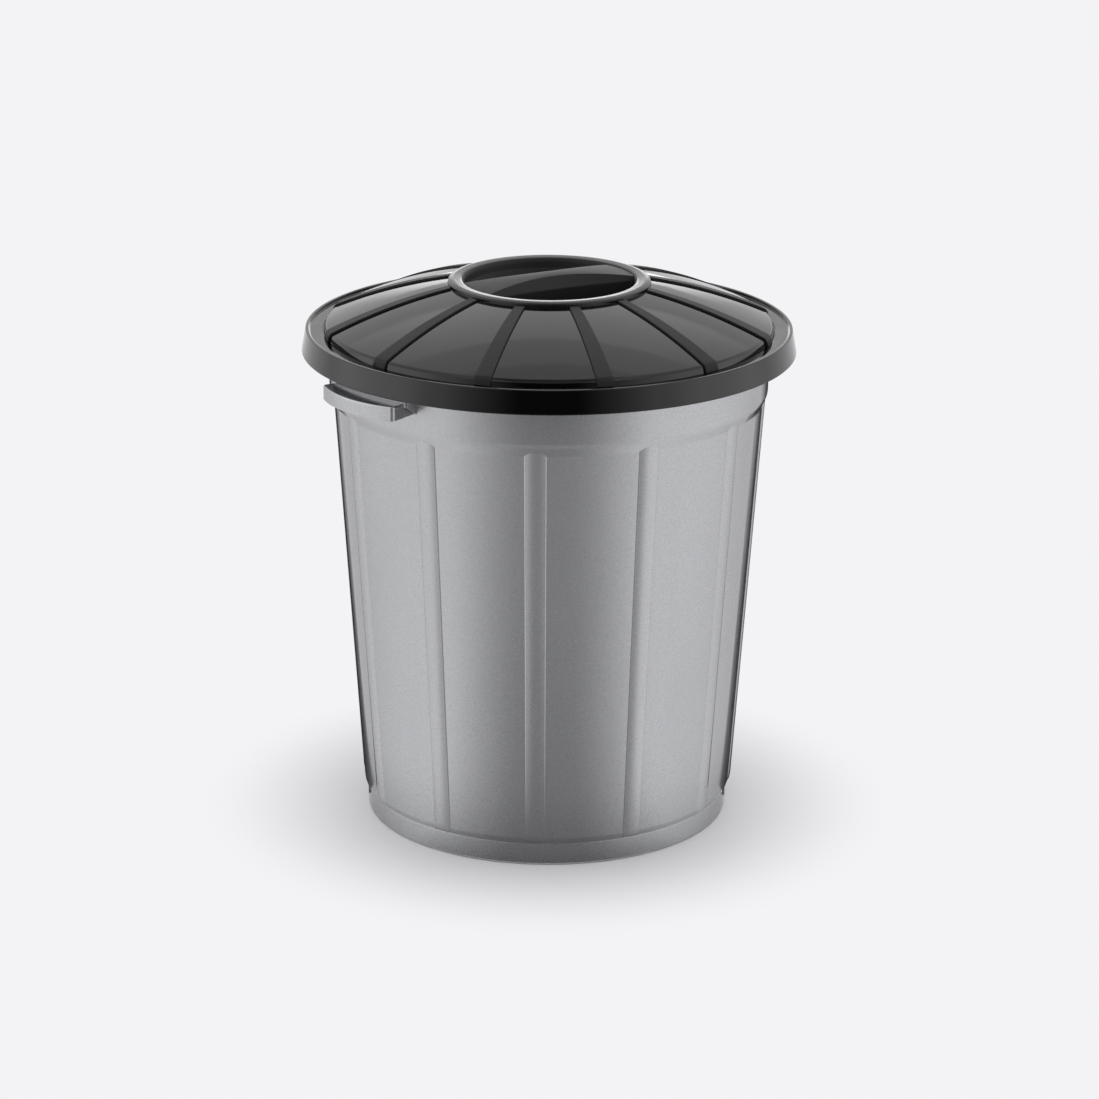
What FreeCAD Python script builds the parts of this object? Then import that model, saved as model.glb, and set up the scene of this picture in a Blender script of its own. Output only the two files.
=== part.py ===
import FreeCAD, Part
import math
import os

# Round waste bin: a tapering moulded bucket with two ledge grips, a domed lift-off lid and a grip in the lid.
# Millimetres. +Z is up, the origin is on the floor at the middle of the bin, the hand grips point along +X and -X.

Vector = FreeCAD.Vector
ORIGIN = Vector(0, 0, 0)
UP = Vector(0, 0, 1)

# Bucket: wall and foot
WALL_BASE_RADIUS = 173.3        # outer radius of the wall's straight line, carried down to the floor
WALL_SLOPE = 0.0668             # outward lean of the wall, radius gained per millimetre of height
WALL_THICKNESS = 2.5
FOOT_INSET = 1.6                # how far the foot band's lower edge stands in from the wall's line
FOOT_BAND_HEIGHT = 22.6
FOOT_BAND_LEAN = 0.4            # radius gained over the height of the foot band
FOOT_STEP_WIDTH = 1.5           # width of the step out from the foot band, below the rounded edge of the wall
FOOT_STEP_RISE = 0.3
FOOT_STEP_HEIGHT = 4.9          # height over which the wall's lower edge rounds in to the foot band
FOOT_EDGE_ROUND = 2.0
FOOT_RING_WIDTH = 13.0          # width of the flat ring that the bin stands on, the rounded edge included
FLOOR_RAISE = 4.0               # the bucket's floor is this far above the ground inside the foot ring
FLOOR_THICKNESS = 2.8

# Bucket: collar and rim
FLARE_LOW = 400.0               # height where the wall starts to flare into the collar
FLARE_HEIGHT = 10.5
FLARE_OUT = 4.2                 # radius gained in the flare
COLLAR_SLOPE = 0.022            # outward lean of the collar
FLARE_ROUND = 5.0
COLLAR_ROUND = 14.0
RIM_TOP = 466.0
RIM_REACH = 16.58               # how far the rim flange stands out from the collar
RIM_THICKNESS = 3.0
RIM_LIP_HEIGHT = 10.0           # height of the flange's down-turned lip, the flange included

# Bucket: ribs on the wall
RIB_COUNT = 12
RIB_ANGLE = 5.4                 # width of a rib, degrees around the bucket
RIB_HEIGHT = 1.8
RIB_LAP = 5.5                   # how far the ribs run up into the collar's flare
RIB_OFFSET = 15.0               # angle from the line of the hand grips to the nearest rib, degrees

# Bucket: hand grips, one on each side
GRIP_GAP = 6.0                  # open height between the lid's skirt and the ledge
GRIP_HALF_ANGLE = 12.3
GRIP_END_REACH = 12.0           # reach of the ledge beyond the rim at its two ends
GRIP_BOW = 7.0                  # how much further the ledge reaches at its middle
GRIP_THICKNESS = 3.0
GRIP_LIP_HEIGHT = 13.5          # height of the down-turned lip, the ledge included
APRON_HALF_ANGLE = 13.8         # the rim's lip hangs lower over this half angle, behind the ledge
GUSSET_HEIGHT = 16.0            # height of the gusset under each end of the apron

# Lid
LID_CLEARANCE = 1.5             # gap around the bucket's rim, inside the lid
LID_SKIRT_DROP = 16.0           # how far the skirt hangs below the top of the bucket's rim
LID_SKIRT_FLARE = 4.0           # radius gained down the skirt
LID_LIP_HEIGHT = 5.0            # height of the lid's rim lip above the bucket's rim
LID_LIP_WIDTH = 3.0
LEDGE_THICKNESS = 2.4
LEDGE_WIDTH = 16.7              # from the outside of the lid's rim lip in to the foot of the dome's wall
LID_THICKNESS = 2.5
DOME_WALL_LEAN = 1.9            # how far the dome's wall leans in over its height
DOME_RADIUS = 498.2             # radius of the sphere that the dome is cut from
SHOULDER_HEIGHT = 5.9           # height of the dome's wall above the ledge
STRIP_COUNT = 12
STRIP_HEIGHT = 1.8
STRIP_INNER_WIDTH = 9.4
STRIP_OUTER_WIDTH = 16.0
LID_TURN = -12.9                # how far the lid sits turned on the rim, degrees
STRIP_OFFSET = 15.0             # angle from the grip's bar to the nearest strip, degrees

# Grip in the middle of the lid
RING_RADIUS = 93.9
RING_HEIGHT = 5.6
RING_WIDTH = 14.8
RING_ROUND = 2.4
CUP_LEAN = 9.1                  # how far the cup narrows from the ring to its floor
CUP_DEPTH = 24.0                # from the top of the ring to the floor of the cup
CUP_THICKNESS = 2.2
SEAT_WIDTH = 14.0
SEAT_THICKNESS = 3.0
SEAT_CLEARANCE = 0.3
BAR_RISE = 4.3                  # how far the bar's crown stands above the ring
BAR_CROWN_RADIUS = 510.0
BAR_WAIST_HALF = 9.3
BAR_END_HALF = 25.5             # half width of the crown where the bar meets the ring
BAR_BASE_WAIST_HALF = 19.0
BAR_BASE_END_HALF = 27.0
BAR_SLOPE_HEIGHT = 10.2         # height of the bar's sloping sides at its middle
SNAP_COUNT = 4
SNAP_ANGLE = 11.0
SNAP_REACH = 1.5
SNAP_HEIGHT = 3.0


FOOT_RADIUS = WALL_BASE_RADIUS - FOOT_INSET
FLARE_LOW_RADIUS = WALL_BASE_RADIUS + WALL_SLOPE * FLARE_LOW
COLLAR_LOW = FLARE_LOW + FLARE_HEIGHT
RIM_RADIUS = FLARE_LOW_RADIUS + FLARE_OUT + COLLAR_SLOPE * (RIM_TOP - COLLAR_LOW) + RIM_REACH
RIB_TOP = FLARE_LOW + RIB_LAP
LID_SKIRT_BOTTOM = RIM_TOP - LID_SKIRT_DROP
GRIP_TOP = LID_SKIRT_BOTTOM - GRIP_GAP
GRIP_END_RADIUS = RIM_RADIUS + GRIP_END_REACH
GRIP_RADIUS = GRIP_END_RADIUS + GRIP_BOW
APRON_BOTTOM = GRIP_TOP - GRIP_THICKNESS
GUSSET_FOOT = APRON_BOTTOM - GUSSET_HEIGHT
LID_TOP_RADIUS = RIM_RADIUS + LID_CLEARANCE + LID_THICKNESS
LID_SKIRT_RADIUS = LID_TOP_RADIUS + LID_SKIRT_FLARE
DOME_FOOT_RADIUS = LID_TOP_RADIUS - LEDGE_WIDTH
DOME_SHOULDER_RADIUS = DOME_FOOT_RADIUS - DOME_WALL_LEAN
RING_INNER_RADIUS = RING_RADIUS - RING_WIDTH
CUP_FLOOR_RADIUS = RING_INNER_RADIUS - CUP_LEAN


def wall_radius(z):
    """Outer radius of the bucket's wall at height z."""
    return WALL_BASE_RADIUS + WALL_SLOPE * z


def rounded_wire(corners):
    """Closed wire in the XZ plane through (radius, height, rounding) corners."""
    edges = []
    starts = []
    ends = []
    middles = []
    count = len(corners)
    for i, (x, z, rounding) in enumerate(corners):
        here = Vector(x, 0, z)
        before = Vector(corners[i - 1][0], 0, corners[i - 1][1]) - here
        after = Vector(corners[(i + 1) % count][0], 0, corners[(i + 1) % count][1]) - here
        if rounding <= 0:
            starts.append(here)
            ends.append(here)
            middles.append(None)
            continue
        before.normalize()
        after.normalize()
        half = before.getAngle(after) / 2
        setback = rounding / math.tan(half)
        bisector = before + after
        bisector.normalize()
        starts.append(here + before * setback)
        ends.append(here + after * setback)
        middles.append(here + bisector * (rounding / math.sin(half) - rounding))
    for i in range(count):
        if middles[i] is not None:
            edges.append(Part.Arc(starts[i], middles[i], ends[i]).toShape())
        following = starts[(i + 1) % count]
        if ends[i].distanceToPoint(following) > 1e-6:
            edges.append(Part.LineSegment(ends[i], following).toShape())
    return Part.Wire(edges)


def turned(corners, angle=360.0, start=0.0):
    """Solid swept by a profile turning about the bin's axis, from the start angle."""
    solid = Part.Face(rounded_wire(corners)).revolve(ORIGIN, UP, angle)
    solid.rotate(ORIGIN, UP, start)
    return solid


def polar(radius, degrees, z=0.0):
    """Point at a radius and an angle around the bin's axis."""
    angle = math.radians(degrees)
    return Vector(radius * math.cos(angle), radius * math.sin(angle), z)


def prism(edges, bottom, top):
    """Upright prism on a closed outline drawn at height zero."""
    face = Part.Face(Part.Wire(edges))
    face.translate(Vector(0, 0, bottom))
    return face.extrude(Vector(0, 0, top - bottom))


def line(a, b):
    return Part.LineSegment(a, b).toShape()


def one_solid(shape):
    """The shape as one clean solid."""
    clean = shape.removeSplitter()
    return clean.Solids[0] if len(clean.Solids) == 1 else clean


# ---------------------------------------------------------------- bucket

def collar_radius(z):
    """Outer radius of the collar at height z."""
    return FLARE_LOW_RADIUS + FLARE_OUT + COLLAR_SLOPE * (z - COLLAR_LOW)


def bucket_shell():
    """Floor, foot band, wall, collar and rim flange as one turned shell."""
    step_top = FOOT_BAND_HEIGHT + FOOT_STEP_HEIGHT
    floor_top = FLOOR_RAISE + FLOOR_THICKNESS
    ring_inner = FOOT_RADIUS - FOOT_RING_WIDTH
    flange_under = RIM_TOP - RIM_THICKNESS
    lip_bottom = RIM_TOP - RIM_LIP_HEIGHT
    band_radius = FOOT_RADIUS + FOOT_BAND_LEAN
    lip_inner = RIM_RADIUS - RIM_THICKNESS
    return turned([
        (0, FLOOR_RAISE, 0),
        (ring_inner, FLOOR_RAISE, 1.0),
        (ring_inner, 0, 0),
        (FOOT_RADIUS, 0, FOOT_EDGE_ROUND),
        (band_radius, FOOT_BAND_HEIGHT, 0.4),
        (band_radius + FOOT_STEP_WIDTH, FOOT_BAND_HEIGHT + FOOT_STEP_RISE, 1.0),
        (wall_radius(step_top), step_top, 6.0),
        (wall_radius(FLARE_LOW), FLARE_LOW, FLARE_ROUND),
        (collar_radius(COLLAR_LOW), COLLAR_LOW, COLLAR_ROUND),
        (collar_radius(flange_under), flange_under, 1.0),
        (lip_inner, flange_under, 0.8),
        (lip_inner, lip_bottom, 0.6),
        (RIM_RADIUS, lip_bottom, 0.6),
        (RIM_RADIUS, RIM_TOP, 1.5),
        (collar_radius(RIM_TOP) - WALL_THICKNESS, RIM_TOP, 1.0),
        (collar_radius(COLLAR_LOW) - WALL_THICKNESS, COLLAR_LOW, COLLAR_ROUND),
        (wall_radius(FLARE_LOW) - WALL_THICKNESS, FLARE_LOW, FLARE_ROUND),
        (wall_radius(floor_top) - WALL_THICKNESS - FOOT_BAND_LEAN, floor_top, 3.0),
        (0, floor_top, 0),
    ])


def bucket_ribs():
    """Raised ribs that run up the wall, round in above the foot band and end in the collar's flare."""
    step_top = FOOT_BAND_HEIGHT + FOOT_STEP_HEIGHT
    low = FOOT_BAND_HEIGHT + 2 * FOOT_STEP_RISE
    low_radius = FOOT_RADIUS + FOOT_BAND_LEAN + FOOT_STEP_WIDTH
    bury = WALL_THICKNESS / 2
    ribs = []
    for i in range(RIB_COUNT):
        middle = RIB_OFFSET + i * 360.0 / RIB_COUNT
        ribs.append(turned([
            (low_radius - bury, low, 0),
            (low_radius + RIB_HEIGHT / 2, low, 0),
            (wall_radius(step_top) + RIB_HEIGHT, step_top, 0),
            (wall_radius(RIB_TOP) + RIB_HEIGHT, RIB_TOP, 0),
            (wall_radius(RIB_TOP) - bury, RIB_TOP, 0),
        ], RIB_ANGLE, middle - RIB_ANGLE / 2))
    return ribs


def ledge_outline(inset, inner_radius):
    """Outline of a hand grip in plan: two radial ends and a bowed front, moved in by the inset."""
    trim = math.degrees(inset / GRIP_END_RADIUS)
    half = GRIP_HALF_ANGLE - trim
    end_radius = GRIP_END_RADIUS - inset
    left_in = polar(inner_radius, half)
    left_out = polar(end_radius, half)
    right_out = polar(end_radius, -half)
    right_in = polar(inner_radius, -half)
    front = Vector(GRIP_RADIUS - inset, 0, 0)
    return [line(right_in, right_out), Part.Arc(right_out, front, left_out).toShape(),
            line(left_out, left_in), line(left_in, right_in)]


def hand_grip():
    """One hand grip on the +X side: ledge with a down-turned lip, and the apron and gussets that carry it."""
    bury = WALL_THICKNESS / 2
    lip_bottom = GRIP_TOP - GRIP_LIP_HEIGHT
    apron_inner = RIM_RADIUS - RIM_THICKNESS
    flange_mid = RIM_TOP - RIM_THICKNESS / 2
    block = prism(ledge_outline(0, apron_inner), lip_bottom, GRIP_TOP)
    hollow = prism(ledge_outline(GRIP_THICKNESS, apron_inner), lip_bottom - 1, GRIP_TOP - GRIP_THICKNESS)
    behind_apron = Part.makeCylinder(apron_inner, GRIP_TOP, ORIGIN)
    ledge = block.cut(hollow).cut(behind_apron)
    apron = turned([
        (apron_inner, APRON_BOTTOM, 0),
        (RIM_RADIUS, APRON_BOTTOM, 0),
        (RIM_RADIUS, flange_mid, 0),
        (apron_inner, flange_mid, 0),
    ], 2 * APRON_HALF_ANGLE, -APRON_HALF_ANGLE)
    gusset_angle = math.degrees(GRIP_THICKNESS / RIM_RADIUS)
    pieces = [apron]
    for start in (-APRON_HALF_ANGLE, APRON_HALF_ANGLE - gusset_angle):
        pieces.append(turned([
            (collar_radius(GUSSET_FOOT) - bury, GUSSET_FOOT - bury, 0),
            (apron_inner + 1, APRON_BOTTOM, 0),
            (apron_inner + 1, flange_mid, 0),
            (collar_radius(flange_mid) - bury, flange_mid, 0),
        ], gusset_angle, start))
    return ledge.multiFuse(pieces)


def make_bucket():
    """The whole bucket as one moulding."""
    grip = hand_grip()
    opposite = grip.copy()
    opposite.rotate(ORIGIN, UP, 180)
    return one_solid(bucket_shell().multiFuse(bucket_ribs() + [grip, opposite]))


# ---------------------------------------------------------------- lid

LEDGE_TOP = RIM_TOP + LEDGE_THICKNESS
LIP_TOP = RIM_TOP + LID_LIP_HEIGHT
SHOULDER_Z = LEDGE_TOP + SHOULDER_HEIGHT
DOME_CENTRE = SHOULDER_Z - math.sqrt(DOME_RADIUS ** 2 - DOME_SHOULDER_RADIUS ** 2)
SEAT_RADIUS = RING_RADIUS + SEAT_CLEARANCE
HOLE_RADIUS = SEAT_RADIUS - SEAT_WIDTH


def dome_height(radius, lift=0.0):
    """Height of the dome at a radius, on a surface lifted off it by the lift."""
    return DOME_CENTRE + math.sqrt((DOME_RADIUS + lift) ** 2 - radius ** 2)


SEAT_Z = dome_height(SEAT_RADIUS) - 0.25


def dome_arc(outer_radius, inner_radius, lift):
    """Arc of the dome's section from an outer to an inner radius."""
    middle = (outer_radius + inner_radius) / 2
    points = [Vector(r, 0, dome_height(r, lift)) for r in (outer_radius, middle, inner_radius)]
    return Part.Arc(*points).toShape()


def open_path(corners):
    """Edges through (radius, height) corners, not closed."""
    points = [Vector(x, 0, z) for x, z in corners]
    return [line(a, b) for a, b in zip(points, points[1:])]


def lid_shell():
    """Skirt, rim lip, ledge, dome wall, dome and grip seat as one turned shell."""
    skirt_inner = LID_SKIRT_RADIUS - LID_THICKNESS
    top_inner = LID_TOP_RADIUS - LID_THICKNESS
    lip_inner = LID_TOP_RADIUS - LID_LIP_WIDTH
    wall_foot_inner = DOME_FOOT_RADIUS - LID_THICKNESS
    shoulder_inner = DOME_SHOULDER_RADIUS - LID_THICKNESS
    seat_under = SEAT_Z - SEAT_THICKNESS
    seat_outer = SEAT_RADIUS + SEAT_THICKNESS
    outside = open_path([
        (LID_SKIRT_RADIUS, LID_SKIRT_BOTTOM),
        (LID_TOP_RADIUS, LIP_TOP - 0.8),
        (LID_TOP_RADIUS - 0.8, LIP_TOP),
        (lip_inner, LIP_TOP),
        (lip_inner - 1.0, LEDGE_TOP),
        (DOME_FOOT_RADIUS, LEDGE_TOP),
        (DOME_SHOULDER_RADIUS, dome_height(DOME_SHOULDER_RADIUS)),
    ])
    seat = open_path([
        (SEAT_RADIUS, dome_height(SEAT_RADIUS)),
        (SEAT_RADIUS, SEAT_Z),
        (HOLE_RADIUS, SEAT_Z),
        (HOLE_RADIUS, seat_under),
        (seat_outer, seat_under),
        (seat_outer, dome_height(seat_outer, -LID_THICKNESS)),
    ])
    inside = open_path([
        (shoulder_inner, dome_height(shoulder_inner, -LID_THICKNESS)),
        (wall_foot_inner, RIM_TOP),
        (top_inner, RIM_TOP),
        (skirt_inner, LID_SKIRT_BOTTOM),
        (LID_SKIRT_RADIUS, LID_SKIRT_BOTTOM),
    ])
    edges = (outside + [dome_arc(DOME_SHOULDER_RADIUS, SEAT_RADIUS, 0)] + seat
             + [dome_arc(seat_outer, shoulder_inner, -LID_THICKNESS)] + inside)
    return Part.Face(Part.Wire(edges)).revolve(ORIGIN, UP, 360)


def strip_band():
    """Turned band that the strips are cut from: it lies on the dome and laps down the dome's wall."""
    bury = LID_THICKNESS / 2
    start = SEAT_RADIUS + 0.1
    end = DOME_FOOT_RADIUS + STRIP_HEIGHT
    bend = DOME_SHOULDER_RADIUS + STRIP_HEIGHT
    edges = [dome_arc(start, bend, STRIP_HEIGHT)]
    edges += open_path([
        (bend, dome_height(bend, STRIP_HEIGHT)),
        (end, LEDGE_TOP),
        (DOME_FOOT_RADIUS - bury, LEDGE_TOP),
        (DOME_SHOULDER_RADIUS - bury, dome_height(DOME_SHOULDER_RADIUS - bury, -bury)),
    ])
    edges.append(dome_arc(DOME_SHOULDER_RADIUS - bury, start, -bury))
    edges += open_path([(start, dome_height(start, -bury)), (start, dome_height(start, STRIP_HEIGHT))])
    return Part.Face(Part.Wire(edges)).revolve(ORIGIN, UP, 360)


def lid_strips():
    """Raised wedge-shaped strips from the grip out to the ledge."""
    inner = SEAT_RADIUS - 2
    outer = DOME_FOOT_RADIUS + 4
    corners = [Vector(inner, -STRIP_INNER_WIDTH / 2, 0), Vector(outer, -STRIP_OUTER_WIDTH / 2, 0),
               Vector(outer, STRIP_OUTER_WIDTH / 2, 0), Vector(inner, STRIP_INNER_WIDTH / 2, 0)]
    band = strip_band()
    strips = []
    for i in range(STRIP_COUNT):
        outline = [line(a, b) for a, b in zip(corners, corners[1:] + corners[:1])]
        wedge = prism(outline, RIM_TOP, SEAT_Z + 3 * STRIP_HEIGHT)
        wedge.rotate(ORIGIN, UP, STRIP_OFFSET + i * 360.0 / STRIP_COUNT)
        strips.append(band.common(wedge))
    return strips


def make_lid():
    """The whole lid, turned as it sits on the rim."""
    lid = one_solid(lid_shell().multiFuse(lid_strips()))
    lid.rotate(ORIGIN, UP, LID_TURN)
    return lid


# ---------------------------------------------------------------- grip in the lid

RING_TOP = SEAT_Z + RING_HEIGHT
CUP_FLOOR = RING_TOP - CUP_DEPTH
CUP_TOP_RADIUS = HOLE_RADIUS - SEAT_CLEARANCE - CUP_THICKNESS


def grip_cup():
    """Ring and finger cup as one turned shell."""
    under = CUP_FLOOR - CUP_THICKNESS
    return turned([
        (0, under, 0),
        (CUP_FLOOR_RADIUS + 0.8, under, 3.0),
        (CUP_TOP_RADIUS + CUP_THICKNESS, SEAT_Z - SEAT_THICKNESS, 0),
        (CUP_TOP_RADIUS + CUP_THICKNESS, SEAT_Z, 0),
        (RING_RADIUS, SEAT_Z, 0),
        (RING_RADIUS, RING_TOP, RING_ROUND),
        (RING_INNER_RADIUS, RING_TOP, 1.2),
        (CUP_TOP_RADIUS, SEAT_Z - SEAT_THICKNESS, 4.0),
        (CUP_FLOOR_RADIUS, CUP_FLOOR, 5.0),
        (0, CUP_FLOOR, 0),
    ])


def bar_outline(half_length, waist, end, z):
    """Closed outline of the bar at height z, waisted between its two ends."""
    corners = [Vector(-half_length, -end, z), Vector(half_length, -end, z),
               Vector(half_length, end, z), Vector(-half_length, end, z)]
    edges = [Part.Arc(corners[0], Vector(0, -waist, z), corners[1]).toShape(), line(corners[1], corners[2]),
             Part.Arc(corners[2], Vector(0, waist, z), corners[3]).toShape(), line(corners[3], corners[0])]
    return Part.Wire(edges)


def bar_solid(inset, end_radius, end_lean, bottom):
    """The bar's body moved in by the inset, from a bottom height up to its crown, with leaning ends."""
    crown = RING_TOP + BAR_RISE - inset
    shoulder = RING_TOP + BAR_RISE - BAR_SLOPE_HEIGHT - inset / 2
    half_length = RING_RADIUS
    grow = (RING_RADIUS / RING_INNER_RADIUS) ** 2
    base_end = BAR_BASE_WAIST_HALF + (BAR_BASE_END_HALF - BAR_BASE_WAIST_HALF) * grow - inset
    top_end = BAR_WAIST_HALF + (BAR_END_HALF - BAR_WAIST_HALF) * grow - inset
    low = bar_outline(half_length, BAR_BASE_WAIST_HALF - inset, base_end, shoulder)
    top = bar_outline(half_length, BAR_WAIST_HALF - inset, top_end, crown)
    stem = Part.Face(low).extrude(Vector(0, 0, bottom - shoulder))
    body = Part.makeLoft([low, top], True, True).fuse(stem)
    crown_radius = BAR_CROWN_RADIUS - inset
    arch = Part.makeCylinder(crown_radius, 4 * BAR_BASE_END_HALF,
                             Vector(0, -2 * BAR_BASE_END_HALF, RING_TOP + BAR_RISE - BAR_CROWN_RADIUS),
                             Vector(0, 1, 0))
    limit = turned([
        (0, bottom, 0),
        (end_radius - end_lean, bottom, 0),
        (end_radius, SEAT_Z, 0),
        (end_radius, crown + 2, 0),
        (0, crown + 2, 0),
    ])
    return body.common(arch).common(limit)


def snap_lugs():
    """Small lugs on the cup that hold it under the lid's seat."""
    under_seat = SEAT_Z - SEAT_THICKNESS - SEAT_CLEARANCE
    cup_outside = CUP_TOP_RADIUS + CUP_THICKNESS
    lugs = []
    for i in range(SNAP_COUNT):
        middle = 45.0 + i * 360.0 / SNAP_COUNT
        lugs.append(turned([
            (cup_outside - CUP_THICKNESS / 2, under_seat, 0),
            (cup_outside - CUP_THICKNESS / 2 - 1, under_seat - SNAP_HEIGHT, 0),
            (cup_outside + SNAP_REACH, under_seat, 0),
        ], SNAP_ANGLE, middle - SNAP_ANGLE / 2))
    return lugs


def make_lid_grip():
    """The grip, with the bar hollow from below, turned with the lid."""
    lean = CUP_TOP_RADIUS - CUP_FLOOR_RADIUS
    bar = bar_solid(0, RING_INNER_RADIUS, lean, CUP_FLOOR - CUP_THICKNESS / 2)
    hollow = bar_solid(CUP_THICKNESS, CUP_TOP_RADIUS - CUP_THICKNESS, lean, CUP_FLOOR - 2 * CUP_THICKNESS)
    grip = grip_cup().multiFuse([bar] + snap_lugs())
    grip = one_solid(grip.cut(hollow))
    grip.rotate(ORIGIN, UP, LID_TURN)
    return grip


# ---------------------------------------------------------------- write the pieces

os.makedirs("parts", exist_ok=True)
PIECES = {
    "bucket": make_bucket,
    "lid": make_lid,
    "lid_grip": make_lid_grip,
}
for name, make in PIECES.items():
    piece = make()
    box = piece.BoundBox
    print(name, "solids", len(piece.Solids), "valid", piece.isValid(), "volume %.0f" % piece.Volume,
          "x %.1f %.1f y %.1f %.1f z %.1f %.1f" % (box.XMin, box.XMax, box.YMin, box.YMax, box.ZMin, box.ZMax))
    piece.exportStep("parts/%s.step" % name)
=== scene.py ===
import math

import bmesh
import bpy
from mathutils import Matrix, Vector


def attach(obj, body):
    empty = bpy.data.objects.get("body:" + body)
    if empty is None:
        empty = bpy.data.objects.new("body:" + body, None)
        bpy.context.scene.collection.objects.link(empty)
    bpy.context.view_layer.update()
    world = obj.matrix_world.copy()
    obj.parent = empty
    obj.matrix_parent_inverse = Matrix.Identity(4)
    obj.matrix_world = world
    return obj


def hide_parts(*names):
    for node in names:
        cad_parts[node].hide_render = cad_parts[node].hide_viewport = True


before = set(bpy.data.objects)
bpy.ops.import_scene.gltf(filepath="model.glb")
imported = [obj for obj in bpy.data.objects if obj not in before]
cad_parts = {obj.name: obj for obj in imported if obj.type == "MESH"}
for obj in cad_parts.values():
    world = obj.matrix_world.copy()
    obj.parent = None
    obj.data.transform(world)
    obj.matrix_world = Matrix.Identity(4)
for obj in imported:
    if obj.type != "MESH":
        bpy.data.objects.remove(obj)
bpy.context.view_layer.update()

bl_info = {
    "name": "Round waste bin",
    "version": (1, 0, 0),
    "blender": (4, 5, 0),
    "location": "3D View > Sidebar > Bin",
    "description": "Silver moulded bin with two ledge grips and a gloss black lift-off lid",
    "category": "Object",
}

MM = 0.001
BUCKET_BODY = "bucket_body"
LID_BODY = "lid_body"
SILVER_SLOT = "silver_plastic"
BLACK_SLOT = "black_plastic"
SUPPORT = 0.35 * MM             # distance of the support loop from the end of a rounded edge
BURY = 0.3 * MM                 # depth that a raised feature sinks into the surface that carries it
CREASE = math.radians(42)       # edges sharper than this stay sharp in the shading
SINK = 0.25 * MM                # depth of the grip's seat in the dome, and of a strip's end in the ledge
BEVEL_FROM = math.radians(35)   # edges of a plate sharper than this are bevelled
MERGE = 0.01 * MM               # points of a turned moulding nearer than this are one point
WELD = 0.001 * MM               # points of any piece nearer than this are one point
NODE_STEP = 180                 # distance between the nodes of a tree in its drawing
BUMP_DEPTH = 0.6 * MM           # depth that the full height of a skin stands for
LIT_POINT = Vector((0, 0, 250 * MM))    # middle of the bin, which the soft boxes look at

# Soft boxes around the bin: name, turn from the camera's side and height above the horizon in degrees,
# distance, width and height in metres, and radiance.
SOFT_BOXES = (
    ("soft_box_left", -84, 12, 2.8, 3.8, 1.5, 0.6),
    ("soft_box_right", 84, 12, 2.8, 3.8, 1.5, 0.48),
    ("soft_box_back", 180, 45, 2.8, 3.4, 1.0, 0.26),
    ("soft_box_top", 180, 50, 2.9, 3.4, 1.5, 0.18),
    ("soft_box_low", 180, 12, 2.8, 1.5, 0.5, 1.9),
)


def length(name, text, millimetres):
    """A size in metres, with its default given in millimetres."""
    return bpy.props.FloatProperty(name=name, description=text, default=millimetres * MM, unit="LENGTH",
                                   precision=5)


def angle(name, text, degrees):
    """An angle in radians, with its default given in degrees."""
    return bpy.props.FloatProperty(name=name, description=text, default=math.radians(degrees),
                                   subtype="ANGLE")


def amount(name, text, value):
    """A plain number."""
    return bpy.props.FloatProperty(name=name, description=text, default=value, precision=4)


def count(name, text, value):
    """A whole number."""
    return bpy.props.IntProperty(name=name, description=text, default=value, min=1)


def colour(name, text, value):
    """A colour."""
    return bpy.props.FloatVectorProperty(name=name, description=text, default=value, subtype="COLOR",
                                         min=0.0, max=1.0)


# ---------------------------------------------------------------- sizes


class BucketSizes(bpy.types.PropertyGroup):
    """Sizes of the silver bucket."""

    segments: count("Segments", "Faces around the bucket", 384)
    base_radius: length("Wall radius", "Outer radius of the wall's line at the floor", 173.3)
    wall_slope: amount("Wall slope", "Radius gained per unit of height", 0.0668)
    wall_thickness: length("Wall thickness", "Thickness of the wall", 2.5)
    foot_inset: length("Foot inset", "How far the foot band stands in from the wall's line", 1.6)
    foot_height: length("Foot height", "Height of the foot band", 22.6)
    foot_lean: length("Foot lean", "Radius gained over the foot band", 0.4)
    foot_step: length("Foot step", "Width of the step out from the foot band", 1.5)
    crease_width: length("Crease width", "Width of the crease between foot and wall", 1.6)
    crease_depth: length("Crease depth", "Depth of the crease between foot and wall", 1.0)
    foot_ring: length("Foot ring", "Width of the flat ring the bin stands on", 13.0)
    edge_height: length("Lower edge", "Height of the wall's rounded lower edge", 4.9)
    floor_raise: length("Floor raise", "Height of the floor's underside", 4.0)
    floor_thickness: length("Floor thickness", "Thickness of the floor", 2.8)
    flare_low: length("Flare height", "Height where the wall flares into the collar", 402.5)
    flare_height: length("Flare length", "Height of the flare", 9.5)
    flare_out: length("Flare width", "Radius gained in the flare", 4.2)
    collar_slope: amount("Collar slope", "Outward lean of the collar", 0.022)
    rim_top: length("Rim height", "Height of the rim", 466.0)
    rim_radius: length("Rim radius", "Outer radius of the rim", 222.0)
    rim_thickness: length("Rim thickness", "Thickness of the rim flange", 3.0)
    rim_lip: length("Rim lip", "Height of the rim's down-turned lip", 10.0)


class RibSizes(bpy.types.PropertyGroup):
    """Sizes of the raised ribs on the wall."""

    number: count("Ribs", "Number of ribs", 12)
    first: angle("First rib", "Angle from the grips to the first rib", 15.0)
    width: angle("Rib width", "Width of a rib around the bucket", 5.4)
    height: length("Rib height", "How far a rib stands out", 1.8)
    step: amount("Rib step", "Share of the height that the rib's edge takes", 0.25)
    top: length("Rib top", "Height where the ribs end inside the flare", 407.0)


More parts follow.
